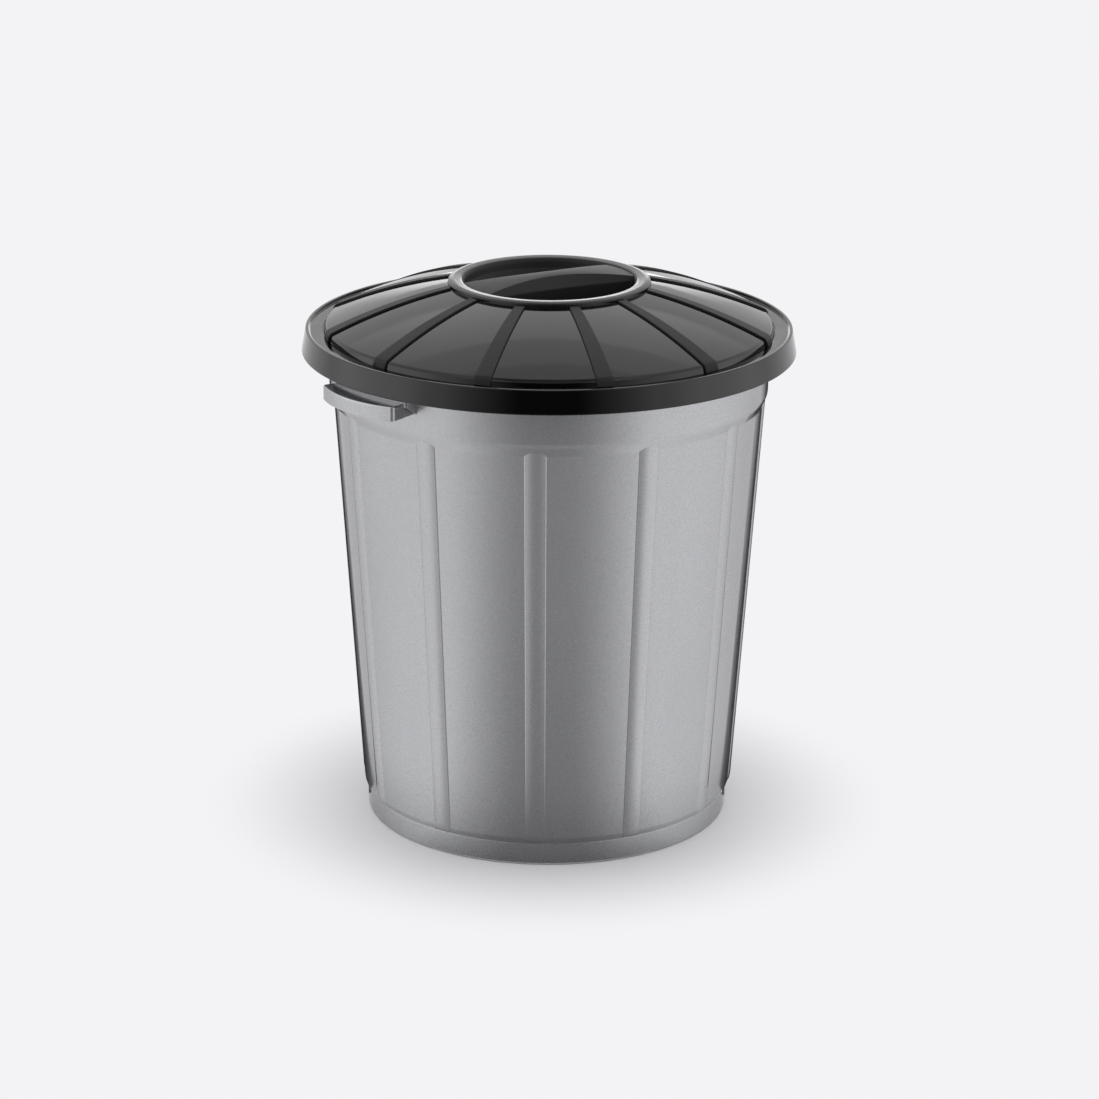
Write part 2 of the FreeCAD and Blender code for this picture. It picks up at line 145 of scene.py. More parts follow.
class HandGripSizes(bpy.types.PropertyGroup):
    """Sizes of the two ledge grips."""

    half_angle: angle("Half width", "Half the width of a grip around the bucket", 12.3)
    top: length("Ledge height", "Height of the ledge's top face", 444.0)
    end_radius: length("End reach", "Reach of the ledge at its ends", 234.0)
    radius: length("Reach", "Reach of the ledge at its middle", 240.9)
    thickness: length("Thickness", "Thickness of ledge and lip", 3.0)
    lip: length("Lip height", "Height of the down-turned lip", 13.5)
    lip_edge: length("Lip edge", "Rounding of the lip's lower edge", 0.5)
    top_edge: length("Top edge", "Rounding of the ledge's top edge", 1.1)
    corner: length("Corner", "Radius of the ledge's corners in plan", 3.8)
    apron_angle: angle("Apron half width", "Half the width of the apron behind the ledge", 13.3)
    gusset: length("Gusset height", "Height of the gussets below the apron", 9.0)


class LidSizes(bpy.types.PropertyGroup):
    """Sizes of the black lid."""

    segments: count("Segments", "Faces around the lid", 360)
    turn: angle("Turn", "How far the lid sits turned on the rim", -12.9)
    skirt_radius: length("Skirt radius", "Outer radius of the skirt's lower edge", 230.0)
    skirt_drop: length("Skirt drop", "How far the skirt hangs below the rim", 17.0)
    top_radius: length("Lip radius", "Outer radius of the rim lip", 226.0)
    lip_height: length("Lip height", "Height of the rim lip above the bucket's rim", 5.0)
    lip_width: length("Lip width", "Width of the rim lip", 3.0)
    ledge: length("Ledge thickness", "Thickness of the ledge", 2.4)
    thickness: length("Thickness", "Thickness of the lid", 2.5)
    dome_foot: length("Dome foot", "Radius of the dome's wall at its foot", 209.3)
    shoulder: length("Shoulder radius", "Radius of the dome's shoulder", 207.4)
    shoulder_height: length("Shoulder height", "Height of the dome's wall", 5.9)
    shoulder_round: length("Shoulder rounding", "Rounding of the dome's shoulder", 4.5)
    groove: length("Groove", "Depth and width of the groove at the foot of the dome's wall", 0.9)
    dome_radius: length("Dome radius", "Radius of the sphere that the dome is cut from", 498.2)


class StripSizes(bpy.types.PropertyGroup):
    """Sizes of the raised matt strips on the lid."""

    number: count("Strips", "Number of strips", 12)
    first: angle("First strip", "Angle from the bar to the first strip", 15.0)
    inner_width: length("Inner width", "Width at the grip", 9.4)
    outer_width: length("Outer width", "Width at the ledge", 16.0)
    height: length("Strip height", "How far a strip stands up", 1.8)


class LidGripSizes(bpy.types.PropertyGroup):
    """Sizes of the grip in the middle of the lid."""

    radius: length("Ring radius", "Outer radius of the ring", 93.9)
    ring_width: length("Ring width", "Width of the ring's top", 14.8)
    ring_height: length("Ring height", "Height of the ring above its seat", 5.6)
    ring_crown: length("Ring crown", "How much lower the ring's outer edge is than its crest", 1.5)
    ring_dip: length("Ring dip", "How much lower the ring's inner edge is than its crest", 0.75)
    ring_round: length("Ring rounding", "Rounding from the ring into the cup", 5.0)
    cup_depth: length("Cup depth", "Depth of the finger cup", 24.0)
    cup_lean: length("Cup lean", "How far the cup narrows to its floor", 9.1)
    thickness: length("Thickness", "Thickness of the cup", 2.2)
    seat_width: length("Seat width", "Width of the seat in the lid", 14.0)
    seat_thickness: length("Seat thickness", "Thickness of the seat in the lid", 3.0)
    clearance: length("Clearance", "Gap between the grip and the lid", 0.3)
    bar_rise: length("Bar rise", "How far the bar's crown stands above the ring", 4.3)
    bar_crown: length("Bar crown radius", "Radius of the bar's crown along its length", 510.0)
    bar_sag: length("Bar crowning", "How much the bar's top falls from its middle line to its edges", 0.6)
    bar_waist: length("Bar waist", "Half width of the bar's crown at the middle", 9.3)
    bar_end: length("Bar end", "Half width of the bar's crown at the ring", 25.5)
    base_waist: length("Bar base waist", "Half width of the bar's foot at the middle", 19.0)
    base_end: length("Bar base end", "Half width of the bar's foot at the ring", 27.0)
    slope_height: length("Bar slope", "Height of the bar's sloping sides", 10.2)


class FinishSettings(bpy.types.PropertyGroup):
    """Colours of the plastics, and the grain of the silver one."""

    silver: colour("Silver", "Colour of the metallic silver moulding", (0.535, 0.539, 0.550))
    gloss_black: colour("Gloss black", "Colour of the gloss black moulding", (0.003, 0.003, 0.0032))
    satin_black: colour("Satin black", "Colour of the satin ring", (0.0105, 0.0105, 0.0112))
    matt_black: colour("Matt black", "Colour of the matt strips, bar and cup", (0.013, 0.013, 0.0135))
    grain: amount("Flake size", "Metal flakes per metre in the silver moulding", 2600.0)


class StageSettings(bpy.types.PropertyGroup):
    """Camera, floor, room and cards."""

    azimuth: angle("Camera azimuth", "Direction that the bin is seen from", -41.7)
    elevation: angle("Camera elevation", "Height of the camera above the horizon", 18.16)
    distance: length("Camera distance", "Distance from the camera to the point it looks at", 3555.0)
    target: length("Target height", "Height of the point the camera looks at", 250.9)
    aside: length("Camera aside", "How far the camera stands to its right", 1.5)
    roll: angle("Camera roll", "Roll of the camera", 0.333)
    lens: amount("Focal length", "Focal length in millimetres on a 36 mm sensor", 122.9)
    floor: colour("Floor", "Colour of the floor", (0.91, 0.91, 0.92))
    room: colour("Room", "Light of the room", (0.80, 0.80, 0.81))
    backdrop: colour("Backdrop", "Even colour of the backdrop", (0.896, 0.896, 0.913))
    fade_start: length("Fade start", "Distance on the floor where the backdrop colour begins", 172.0)
    fade_end: length("Fade end", "Distance on the floor where only the backdrop colour is left", 340.0)
    card_dark: angle("Card dark", "Half angle within which the front card is fully dark", 13.0)
    card_clear: angle("Card clear", "Half angle at which the front card ends", 48.0)
    card_start: length("Card start", "Distance where the front card begins", 160.0)
    card_end: length("Card end", "Distance where the front card turns up", 4200.0)
    card_top: length("Card top", "Height of the front card's upright part", 2200.0)
    card_near: amount("Card near", "Cover of the front card beside the bin", 0.72)
    card_far: amount("Card far", "Cover of the front card one metre away", 0.55)
    wedge_reach: length("Wedge reach", "Length of the wedges behind the bin", 1700.0)
    ceiling: length("Ceiling card", "Height of the card above the bin", 3000.0)
    ceiling_cover: amount("Ceiling cover", "Cover of the card above the bin", 0.7)


GROUPS = {
    "bin_bucket": BucketSizes,
    "bin_ribs": RibSizes,
    "bin_hand_grips": HandGripSizes,
    "bin_lid": LidSizes,
    "bin_strips": StripSizes,
    "bin_lid_grip": LidGripSizes,
    "bin_finish": FinishSettings,
    "bin_stage": StageSettings,
}


def settings(name):
    """A group of settings of this scene, by the last part of its name."""
    return getattr(bpy.context.scene, "bin_" + name)


# ---------------------------------------------------------------- profiles and meshes


def clamped(value):
    """A number kept between nought and one."""
    return min(1.0, max(0.0, value))


def polar(radius, turn, z=0.0):
    """Point at a radius and an angle around the upright axis."""
    return Vector((radius * math.cos(turn), radius * math.sin(turn), z))


def rounded(corners, closed, steps=6):
    """Points of a profile through (radius, height, rounding) corners, with support points at roundings."""
    points = []
    total = len(corners)
    for i, (x, z, rounding) in enumerate(corners):
        if rounding <= 0 or (not closed and i in (0, total - 1)):
            points.append((x, z))
            continue
        here = Vector((x, z))
        before = Vector(corners[i - 1][:2]) - here
        after = Vector(corners[(i + 1) % total][:2]) - here
        one = before.normalized()
        two = after.normalized()
        half = one.angle(two) / 2
        setback = rounding / math.tan(half)
        centre = here + (one + two).normalized() * (rounding / math.sin(half))
        turn = -1 if one.x * two.y - one.y * two.x > 0 else 1
        sweep = turn * (math.pi - 2 * half)
        start = here + one * setback - centre
        arc = [centre + Matrix.Rotation(sweep * k / steps, 2) @ start for k in range(steps + 1)]
        if min(before.length, after.length) - setback > 3 * SUPPORT:
            arc = [here + one * (setback + SUPPORT), *arc, here + two * (setback + SUPPORT)]
        points += [tuple(point) for point in arc]
    return points


def mesh_object(name, vertices, faces=(), edges=()):
    """A new object in the scene from plain lists."""
    mesh = bpy.data.meshes.new(name)
    mesh.from_pydata(vertices, edges, faces)
    mesh.update()
    return placed(name, mesh)


def placed(name, data):
    """A new object in the scene for some data."""
    made = bpy.data.objects.new(name, data)
    bpy.context.scene.collection.objects.link(made)
    return made


def ring_faces(rings, width, closed, base=0):
    """Four-cornered faces between neighbouring rings of points, which are closed or open."""
    faces = []
    for ring in range(rings - 1):
        low = base + ring * width
        for j in range(width if closed else width - 1):
            following = (j + 1) % width
            faces.append((low + j, low + following, low + width + following, low + width + j))
    return faces


def grid_solid(name, rows):
    """A closed solid from rows of points: each row is a ring around it, and the two end rings are capped."""
    width = len(rows[0])
    total = width * len(rows)
    faces = ring_faces(len(rows), width, closed=True)
    faces += [tuple(reversed(range(width))), tuple(range(total - width, total))]
    return mesh_object(name, [point for row in rows for point in row], faces)


def outward(mesh):
    """Turns the faces of a mesh's shells outwards and shades it smooth, with creases kept sharp."""
    work = bmesh.new()
    work.from_mesh(mesh)
    bmesh.ops.remove_doubles(work, verts=work.verts, dist=WELD)
    bmesh.ops.recalc_face_normals(work, faces=work.faces)
    if work.calc_volume(signed=True) < 0:
        bmesh.ops.reverse_faces(work, faces=work.faces)
    for face in work.faces:
        face.smooth = True
    work.to_mesh(mesh)
    work.free()
    mesh.set_sharp_from_angle(angle=CREASE)
    return mesh


def plain_mesh(source):
    """Turns an object's evaluated shape into a plain mesh piece of the same name."""
    name = source.name
    bpy.context.view_layer.update()
    graph = bpy.context.evaluated_depsgraph_get()
    mesh = bpy.data.meshes.new_from_object(source.evaluated_get(graph))
    bpy.data.objects.remove(source)
    mesh.name = name
    return placed(name, outward(mesh))


def settle(piece, body, slot, *nodes):
    """Makes a finished piece ride on its body, in place of its CAD nodes."""
    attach(piece, body)
    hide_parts(*nodes)
    return piece


def add_modifier(target, tree, values):
    """Puts a node tree on an object, with its inputs set by name."""
    modifier = target.modifiers.new(tree.name, "NODES")
    modifier.node_group = tree
    for item in tree.interface.items_tree:
        if item.item_type == "SOCKET" and item.in_out == "INPUT" and item.name in values:
            modifier[item.identifier] = values[item.name]
    return modifier


# ---------------------------------------------------------------- node trees


def node(tree, kind, **choices):
    """A node of a tree with its choices set, drawn to the right of the ones before it."""
    made = tree.nodes.new(kind)
    made.location = (NODE_STEP * len(tree.nodes), 0)
    for key, value in choices.items():
        setattr(made, key, value)
    return made


def feed(value, socket):
    """Links an output to an input socket, or sets the input to a plain value."""
    if hasattr(value, "is_linked"):
        value.id_data.links.new(value, socket)
    else:
        socket.default_value = value


def fed(tree, kind, inputs, output, **choices):
    """One output of a new node whose inputs are fed with sockets or plain values."""
    made = node(tree, kind, **choices)
    for key, value in inputs.items():
        feed(value, made.inputs[key])
    return made.outputs[output]


def maths(tree, operation, *values):
    """Result of a maths node."""
    return fed(tree, "ShaderNodeMath", dict(enumerate(values)), "Value", operation=operation)


def vector_maths(tree, operation, output, *values):
    """Result of a vector maths node."""
    return fed(tree, "ShaderNodeVectorMath", dict(enumerate(values)), output, operation=operation)


def remap(tree, value, low, high, new_low=0.0, new_high=1.0, kind="LINEAR"):
    """Maps a value from one range to another, clamped."""
    ends = {"From Min": low, "From Max": high, "To Min": new_low, "To Max": new_high}
    return fed(tree, "ShaderNodeMapRange", {"Value": value, **ends}, "Result", interpolation_type=kind)


def new_tree(name, inputs):
    """An empty shape tree, with the sockets that its inputs come in by."""
    tree = bpy.data.node_groups.new(name, "GeometryNodeTree")
    tree.is_modifier = True
    for label, kind in {"Geometry": "Geometry", **inputs, "Material": "Material"}.items():
        tree.interface.new_socket(label, in_out="INPUT", socket_type="NodeSocket" + kind)
    tree.interface.new_socket("Geometry", in_out="OUTPUT", socket_type="NodeSocketGeometry")
    return tree, node(tree, "NodeGroupInput").outputs


def end_tree(tree, entry, shape):
    """Ends a shape tree: its shape is made real and gets its material."""
    shape = fed(tree, "GeometryNodeRealizeInstances", {"Geometry": shape}, "Geometry")
    inputs = {"Geometry": shape, "Material": entry["Material"]}
    shape = fed(tree, "GeometryNodeSetMaterial", inputs, "Geometry")
    feed(shape, node(tree, "NodeGroupOutput").inputs["Geometry"])
    return tree


def turned_tree():
    """Tree that turns a profile, drawn as edges at a given radius, about the upright axis."""
    inputs = {"Segments": "Int", "Radius": "Float", "Merge Distance": "Float"}
    tree, entry = new_tree("turned_moulding", inputs)
    section = fed(tree, "GeometryNodeMeshToCurve", {"Mesh": entry["Geometry"]}, "Curve")
    circle = fed(tree, "GeometryNodeCurvePrimitiveCircle",
                 {"Resolution": entry["Segments"], "Radius": entry["Radius"]}, "Curve")
    skin = fed(tree, "GeometryNodeCurveToMesh", {"Curve": circle, "Profile Curve": section}, "Mesh")
    skin = fed(tree, "GeometryNodeMergeByDistance", {"Geometry": skin, "Distance": entry["Merge Distance"]},
               "Geometry")
    return end_tree(tree, entry, skin)


def around_tree():
    """Tree that repeats a shape at even angles around the upright axis."""
    tree, entry = new_tree("even_around", {"Number": "Int", "First Angle": "Float"})
    places = fed(tree, "GeometryNodePoints", {"Count": entry["Number"]}, "Points")
    step = maths(tree, "DIVIDE", 2 * math.pi, entry["Number"])
    index = node(tree, "GeometryNodeInputIndex").outputs["Index"]
    spin = maths(tree, "MULTIPLY_ADD", index, step, entry["First Angle"])
    turn = fed(tree, "ShaderNodeCombineXYZ", {"Z": spin}, "Vector")
    copies = fed(tree, "GeometryNodeInstanceOnPoints",
                 {"Points": places, "Instance": entry["Geometry"], "Rotation": turn}, "Instances")
    return end_tree(tree, entry, copies)


def shape_tree(name):
    """A shape tree by name, made on first use."""
    makers = {"turned_moulding": turned_tree, "even_around": around_tree}
    return bpy.data.node_groups.get(name) or makers[name]()


def turned(name, corners, closed, segments, finish):
    """A turned moulding from rounded profile corners, as a plain mesh."""
    points = rounded(corners, closed)
    middle = max(x for x, z in points) / 2
    vertices = [(x - middle, -z, 0.0) for x, z in points]
    edges = [(i, i + 1) for i in range(len(points) - 1)]
    if closed:
        edges.append((len(points) - 1, 0))
    source = mesh_object(name, vertices, edges=edges)
    add_modifier(source, shape_tree("turned_moulding"),
                 {"Segments": segments, "Radius": middle, "Merge Distance": MERGE, "Material": finish})
    return plain_mesh(source)


def repeated(source, number, first, finish):
    """A shape repeated at even angles around the upright axis, as a plain mesh."""
    add_modifier(source, shape_tree("even_around"),
                 {"Number": number, "First Angle": first, "Material": finish})
    return plain_mesh(source)


# ---------------------------------------------------------------- finishes


def shader_group(name, inputs, outputs):
    """An empty shader group with the sockets of its entry and exit. An input without a number is a vector."""
    group = bpy.data.node_groups.new(name, "ShaderNodeTree")
    for label, value in inputs.items():
        kind = "NodeSocketVector" if value is None else "NodeSocketFloat"
        socket = group.interface.new_socket(label, in_out="INPUT", socket_type=kind)
        if value is not None:
            socket.default_value = value
    for label in outputs:
        group.interface.new_socket(label, in_out="OUTPUT", socket_type="NodeSocketFloat")
    return group, node(group, "NodeGroupInput").outputs, node(group, "NodeGroupOutput").inputs


def noise(tree, place, scale, detail=2.0, roughness=0.5):
    """A noise texture's value."""
    inputs = {"Vector": place, "Scale": scale, "Detail": detail, "Roughness": roughness}
    return fed(tree, "ShaderNodeTexNoise", inputs, "Fac")


def moulded_skin_group():
    """Height of a moulded skin: slow waves of the moulding, orange peel and fine tooling grain."""
    inputs = {"Vector": None, "Wave": 1.0, "Peel": 1.0, "Grain": 1.0}
    group, entry, leave = shader_group("moulded_skin", inputs, ["Height"])
    total = 0.0
    for label, per_metre in (("Wave", 14.0), ("Peel", 260.0), ("Grain", 2400.0)):
        total = maths(group, "MULTIPLY_ADD", noise(group, entry["Vector"], per_metre), entry[label], total)
    feed(total, leave["Height"])
    return group


def handling_group():
    """Masks of use: soft smudges, thin scuffs and settled dust on faces that look up."""
    inputs = {"Vector": None, "Normal": None}
    group, entry, leave = shader_group("handling", inputs, ["Smudge", "Scuff", "Dust"])
    place = entry["Vector"]
    stretch = {"Vector": place, "Rotation": (0.3, 0.5, 0.9), "Scale": (900.0, 60.0, 60.0)}
    stretched = fed(group, "ShaderNodeMapping", stretch, "Vector")
    lines = remap(group, noise(group, stretched, 1.0, 1.0), 0.70, 0.78)
    sparse = remap(group, noise(group, place, 30.0), 0.52, 0.70)
    up = fed(group, "ShaderNodeSeparateXYZ", {"Vector": entry["Normal"]}, "Z")
    speck = remap(group, noise(group, place, 1500.0, 1.0), 0.66, 0.76)
    patch = remap(group, noise(group, place, 22.0, 3.0), 0.40, 0.75, 0.15)
    dust = maths(group, "MULTIPLY", speck, patch)
    feed(remap(group, noise(group, place, 9.0, 4.0, 0.6), 0.45, 0.75), leave["Smudge"])
    feed(maths(group, "MULTIPLY", lines, sparse), leave["Scuff"])
    feed(maths(group, "MULTIPLY", dust, remap(group, up, 0.55, 1.0)), leave["Dust"])
    return group


def metal_flake_group():
    """Metal flakes in a moulding: brightness that changes with each flake and with the flow of the melt."""
    inputs = {"Vector": None, "Flakes per Metre": 2600.0}
    group, entry, leave = shader_group("metal_flake", inputs, ["Flake", "Flow"])
    cells = fed(group, "ShaderNodeTexVoronoi",
                {"Vector": entry["Vector"], "Scale": entry["Flakes per Metre"]}, "Color")
    along = fed(group, "ShaderNodeMapping", {"Vector": entry["Vector"], "Scale": (9.0, 9.0, 2.2)}, "Vector")
    feed(fed(group, "ShaderNodeSeparateColor", {"Color": cells}, "Red"), leave["Flake"])
    feed(noise(group, along, 1.0, 3.0, 0.55), leave["Flow"])
    return group


def effect(tree, name, **values):
    """Outputs of one of the shared effects, placed in a material with its own values."""
    makers = {"moulded_skin": moulded_skin_group, "handling": handling_group,
              "metal_flake": metal_flake_group}
    made = node(tree, "ShaderNodeGroup")
    made.node_tree = bpy.data.node_groups.get(name) or makers[name]()
    for label, value in values.items():
        feed(value, made.inputs[label.replace("_", " ")])
    return made.outputs


def new_finish(name):
    """A material, its tree and the inputs of its surface shader."""
    finish = bpy.data.materials.new(name)
    finish.use_nodes = True
    return finish, finish.node_tree, finish.node_tree.nodes["Principled BSDF"].inputs


def set_all(inputs, values):
    """Feeds several inputs of a shader."""
    for label, value in values.items():
        feed(value, inputs[label])


def object_place(tree):
    """The object's own coordinates."""
    return node(tree, "ShaderNodeTexCoord").outputs["Object"]


def use_masks(tree, place):
    """Outputs of the handling effect."""
    normal = node(tree, "ShaderNodeNewGeometry").outputs["Normal"]
    return effect(tree, "handling", Vector=place, Normal=normal)


def mixed(tree, factor, low, high):
    """A colour between two, by a factor."""
    made = node(tree, "ShaderNodeMix", data_type="RGBA")
    feed(factor, made.inputs["Factor"])
    for label, value in (("A", low), ("B", high)):
        feed((*value, 1.0) if isinstance(value, tuple) else value, made.inputs[label])
    return made.outputs["Result"]


def bumped(tree, height):
    """Normal of a skin with a given height."""
    return fed(tree, "ShaderNodeBump", {"Strength": 1.0, "Distance": BUMP_DEPTH, "Height": height}, "Normal")


def scaled(value, factor):
    """A colour made lighter or darker."""
    return tuple(min(1.0, channel * factor) for channel in value)


def silver_moulding():
    """Silver metallic plastic: flakes under a clear skin, with the slow flow marks of the melt."""
    finish, tree, surface = new_finish("silver_metallic_plastic")
    base = tuple(settings("finish").silver)
    place = object_place(tree)
    flakes = effect(tree, "metal_flake", Vector=place, Flakes_per_Metre=settings("finish").grain)
    skin = effect(tree, "moulded_skin", Vector=place, Wave=0.5, Peel=0.035, Grain=0.010)
    use = use_masks(tree, place)
    dark_flake, light_flake, flow_mark = (scaled(base, share) for share in (0.80, 1.22, 0.6))
    dust_colour = (0.55, 0.54, 0.52)
    tint = mixed(tree, flakes["Flake"], dark_flake, light_flake)
    tint = mixed(tree, remap(tree, flakes["Flow"], 0.3, 0.7, 0.0, 0.18), tint, flow_mark)
    rough = remap(tree, flakes["Flake"], 0.0, 1.0, 0.26, 0.36)
    set_all(surface, {
        "Base Color": mixed(tree, use["Dust"], tint, dust_colour),
        "Roughness": maths(tree, "MULTIPLY_ADD", use["Smudge"], 0.05, rough),
        "Metallic": 0.95,
        "Specular Tint": (0.28, 0.28, 0.29, 1.0),
        "Coat Weight": 1.0,
        "Coat Roughness": 0.08,
        "Normal": bumped(tree, skin["Height"]),
    })
    return finish


def black_moulding(name, base, roughness, spread, gloss, peel, grain):
    """Black plastic with a given gloss: orange peel, faint smudges, scuffs and a little dust."""
    finish, tree, surface = new_finish(name)
    place = object_place(tree)
    skin = effect(tree, "moulded_skin", Vector=place, Wave=0.5, Peel=peel, Grain=grain)
    use = use_masks(tree, place)
    dust_colour = (0.30, 0.29, 0.28)
    dusty = maths(tree, "MULTIPLY", use["Dust"], 0.35)
    rough = remap(tree, use["Smudge"], 0.0, 1.0, roughness, roughness + spread)
    rough = maths(tree, "MULTIPLY_ADD", use["Scuff"], 0.25, rough)
    set_all(surface, {
        "Base Color": mixed(tree, dusty, tuple(base), dust_colour),
        "Roughness": maths(tree, "MULTIPLY_ADD", use["Dust"], 0.30, rough),
        "Specular IOR Level": gloss,
        "Normal": bumped(tree, skin["Height"]),
    })
    return finish


def gloss_black():
    """Gloss black of the lid."""
    return black_moulding("gloss_black_plastic", settings("finish").gloss_black, roughness=0.06, spread=0.05,
                          gloss=0.5, peel=0.010, grain=0.0015)


def satin_black():
    """Satin black of the grip's ring."""
    return black_moulding("satin_black_plastic", settings("finish").satin_black, roughness=0.16, spread=0.05,
                          gloss=0.45, peel=0.015, grain=0.02)


def matt_black():
    """Matt black of the strips, the bar and the cup."""
    return black_moulding("matt_black_plastic", settings("finish").matt_black, roughness=0.50, spread=0.06,
                          gloss=0.3, peel=0.03, grain=0.09)


def finish_of(name):
    """A finish by name, made on first use."""
    makers = {"silver_metallic_plastic": silver_moulding, "gloss_black_plastic": gloss_black,
              "satin_black_plastic": satin_black, "matt_black_plastic": matt_black}
    return bpy.data.materials.get(name) or makers[name]()


# ---------------------------------------------------------------- bucket


def wall_radius(z):
    """Outer radius of the bucket's wall at height z."""
    bucket = settings("bucket")
    return bucket.base_radius + bucket.wall_slope * z


def collar_radius(z):
    """Outer radius of the collar at height z."""
    bucket = settings("bucket")
    low = bucket.flare_low + bucket.flare_height
    return wall_radius(bucket.flare_low) + bucket.flare_out + bucket.collar_slope * (z - low)


def bucket_corners():
    """Rounded corners of the bucket's section, from the floor's underside out, up and back down inside."""
    bucket = settings("bucket")
    foot = bucket.base_radius - bucket.foot_inset
    ring_inner = foot - bucket.foot_ring
    band = foot + bucket.foot_lean
    step_top = bucket.foot_height + bucket.edge_height
    floor_top = bucket.floor_raise + bucket.floor_thickness
    flare_low = bucket.flare_low
    collar_low = flare_low + bucket.flare_height
    wall = bucket.wall_thickness
    flange_under = bucket.rim_top - bucket.rim_thickness
    lip_low = bucket.rim_top - bucket.rim_lip
    lip_inner = bucket.rim_radius - bucket.rim_thickness
    return [
        (0, bucket.floor_raise, 0),
        (ring_inner, bucket.floor_raise, 1.0 * MM),
        (ring_inner, 0, 0.6 * MM),
        (foot, 0, 2.0 * MM),
        (band, bucket.foot_height - bucket.crease_width, 0.5 * MM),
        (band - bucket.crease_depth, bucket.foot_height - bucket.crease_width / 2, 0.3 * MM),
        (band + bucket.foot_step, bucket.foot_height + 0.3 * MM, 1.0 * MM),
        (wall_radius(step_top), step_top, 6.0 * MM),
        (wall_radius(flare_low), flare_low, 5.0 * MM),
        (collar_radius(collar_low), collar_low, 14.0 * MM),
        (collar_radius(flange_under), flange_under, 1.0 * MM),
        (lip_inner, flange_under, 0.8 * MM),
        (lip_inner, lip_low, 0.7 * MM),
        (bucket.rim_radius, lip_low, 0.7 * MM),
        (bucket.rim_radius, bucket.rim_top, 1.5 * MM),
        (collar_radius(bucket.rim_top) - wall, bucket.rim_top, 1.0 * MM),
        (collar_radius(collar_low) - wall, collar_low, 14.0 * MM),
        (wall_radius(flare_low) - wall, flare_low, 5.0 * MM),
        (wall_radius(floor_top) - wall - bucket.foot_lean, floor_top, 3.0 * MM),
        (0, floor_top, 0),
    ]


def rib_section(half_width, height, crown_steps=7):
    """Half section of a raised rib as (offset along the wall, height above it): a low step, then a crown."""
    step = height * settings("ribs").step
    section = [
        (half_width + 0.9 * MM, -BURY),
        (half_width + 0.60 * MM, 0.02 * MM),
        (half_width + 0.30 * MM, 0.08 * MM),
        (half_width + 0.12 * MM, 0.22 * MM),
        (half_width, step * 0.72),
        (half_width - 0.15 * MM, step * 0.93),
    ]
    crown = half_width - 0.35 * MM
    for k in range(crown_steps):
        share = 1 - k / crown_steps
        section.append((crown * share, step + (height - step) * (1 - share ** 2)))
    return section


def mirrored(section):
    """A half section with its mirror image and a middle point."""
    return [*section, (0.0, section[-1][1]), *((-offset, height) for offset, height in reversed(section))]


def rib_stations():
    """Places along a rib as (height, radius of the surface under it, share of its full height there)."""
    bucket = settings("bucket")
    top = settings("ribs").top
    band = bucket.base_radius - bucket.foot_inset + bucket.foot_lean
    low = bucket.foot_height + 0.35 * MM
    step_top = bucket.foot_height + bucket.edge_height
    stations = [
        (low, band + 0.2 * MM, 0.05),
        (low + 0.05 * MM, band + bucket.foot_step * 0.8, 0.45),
        (low + 0.7 * MM, band + bucket.foot_step * 1.15, 0.80),
        (low + 1.8 * MM, band + bucket.foot_step * 1.45, 0.95),
        (step_top - 1.2 * MM, wall_radius(step_top) - 0.55 * MM, 1.0),
        (step_top + 1.0 * MM, wall_radius(step_top) - 0.05 * MM, 1.0),
    ]
    wall_heights = (step_top + 3 * MM, 120 * MM, 210 * MM, 300 * MM, top - 4 * MM, top)
    return stations + [(z, wall_radius(z), 1.0) for z in wall_heights]


def make_rib():
    """One rib along +X's direction, from the wall's lower edge up into the flare."""
    bucket = settings("bucket")
    ribs = settings("ribs")
    back_half = ribs.width / 2.2
    back_depth = 1.2 * MM
    rows = []
    for z, radius, share in rib_stations():
        row = []
        for offset, height in mirrored(rib_section(radius * ribs.width / 2, ribs.height)):
            row.append(polar(radius + (height * share if height > 0 else height), offset / radius, z))
        flared = bucket.flare_out * max(0.0, z - bucket.flare_low) / bucket.flare_height
        row += [polar(radius + flared - back_depth, turn, z) for turn in (-back_half, back_half)]
        rows.append(row)
    return grid_solid("wall_ribs", rows)


class BIN_OT_bucket(bpy.types.Operator):
    """Make the bucket: floor, foot band, wall, collar and rim"""

    bl_idname = "bin.bucket"
    bl_label = "Bucket"

    def execute(self, context):
        silver = finish_of("silver_metallic_plastic")
        shell = turned("bucket_shell", bucket_corners(), False, settings("bucket").segments, silver)
        settle(shell, BUCKET_BODY, SILVER_SLOT, "bucket")
        return {"FINISHED"}


class BIN_OT_ribs(bpy.types.Operator):
    """Make the raised ribs around the wall"""

    bl_idname = "bin.ribs"
    bl_label = "Wall ribs"

    def execute(self, context):
        ribs = settings("ribs")
        piece = repeated(make_rib(), ribs.number, ribs.first, finish_of("silver_metallic_plastic"))
        settle(piece, BUCKET_BODY, SILVER_SLOT, "bucket")
        return {"FINISHED"}


# ---------------------------------------------------------------- hand grips


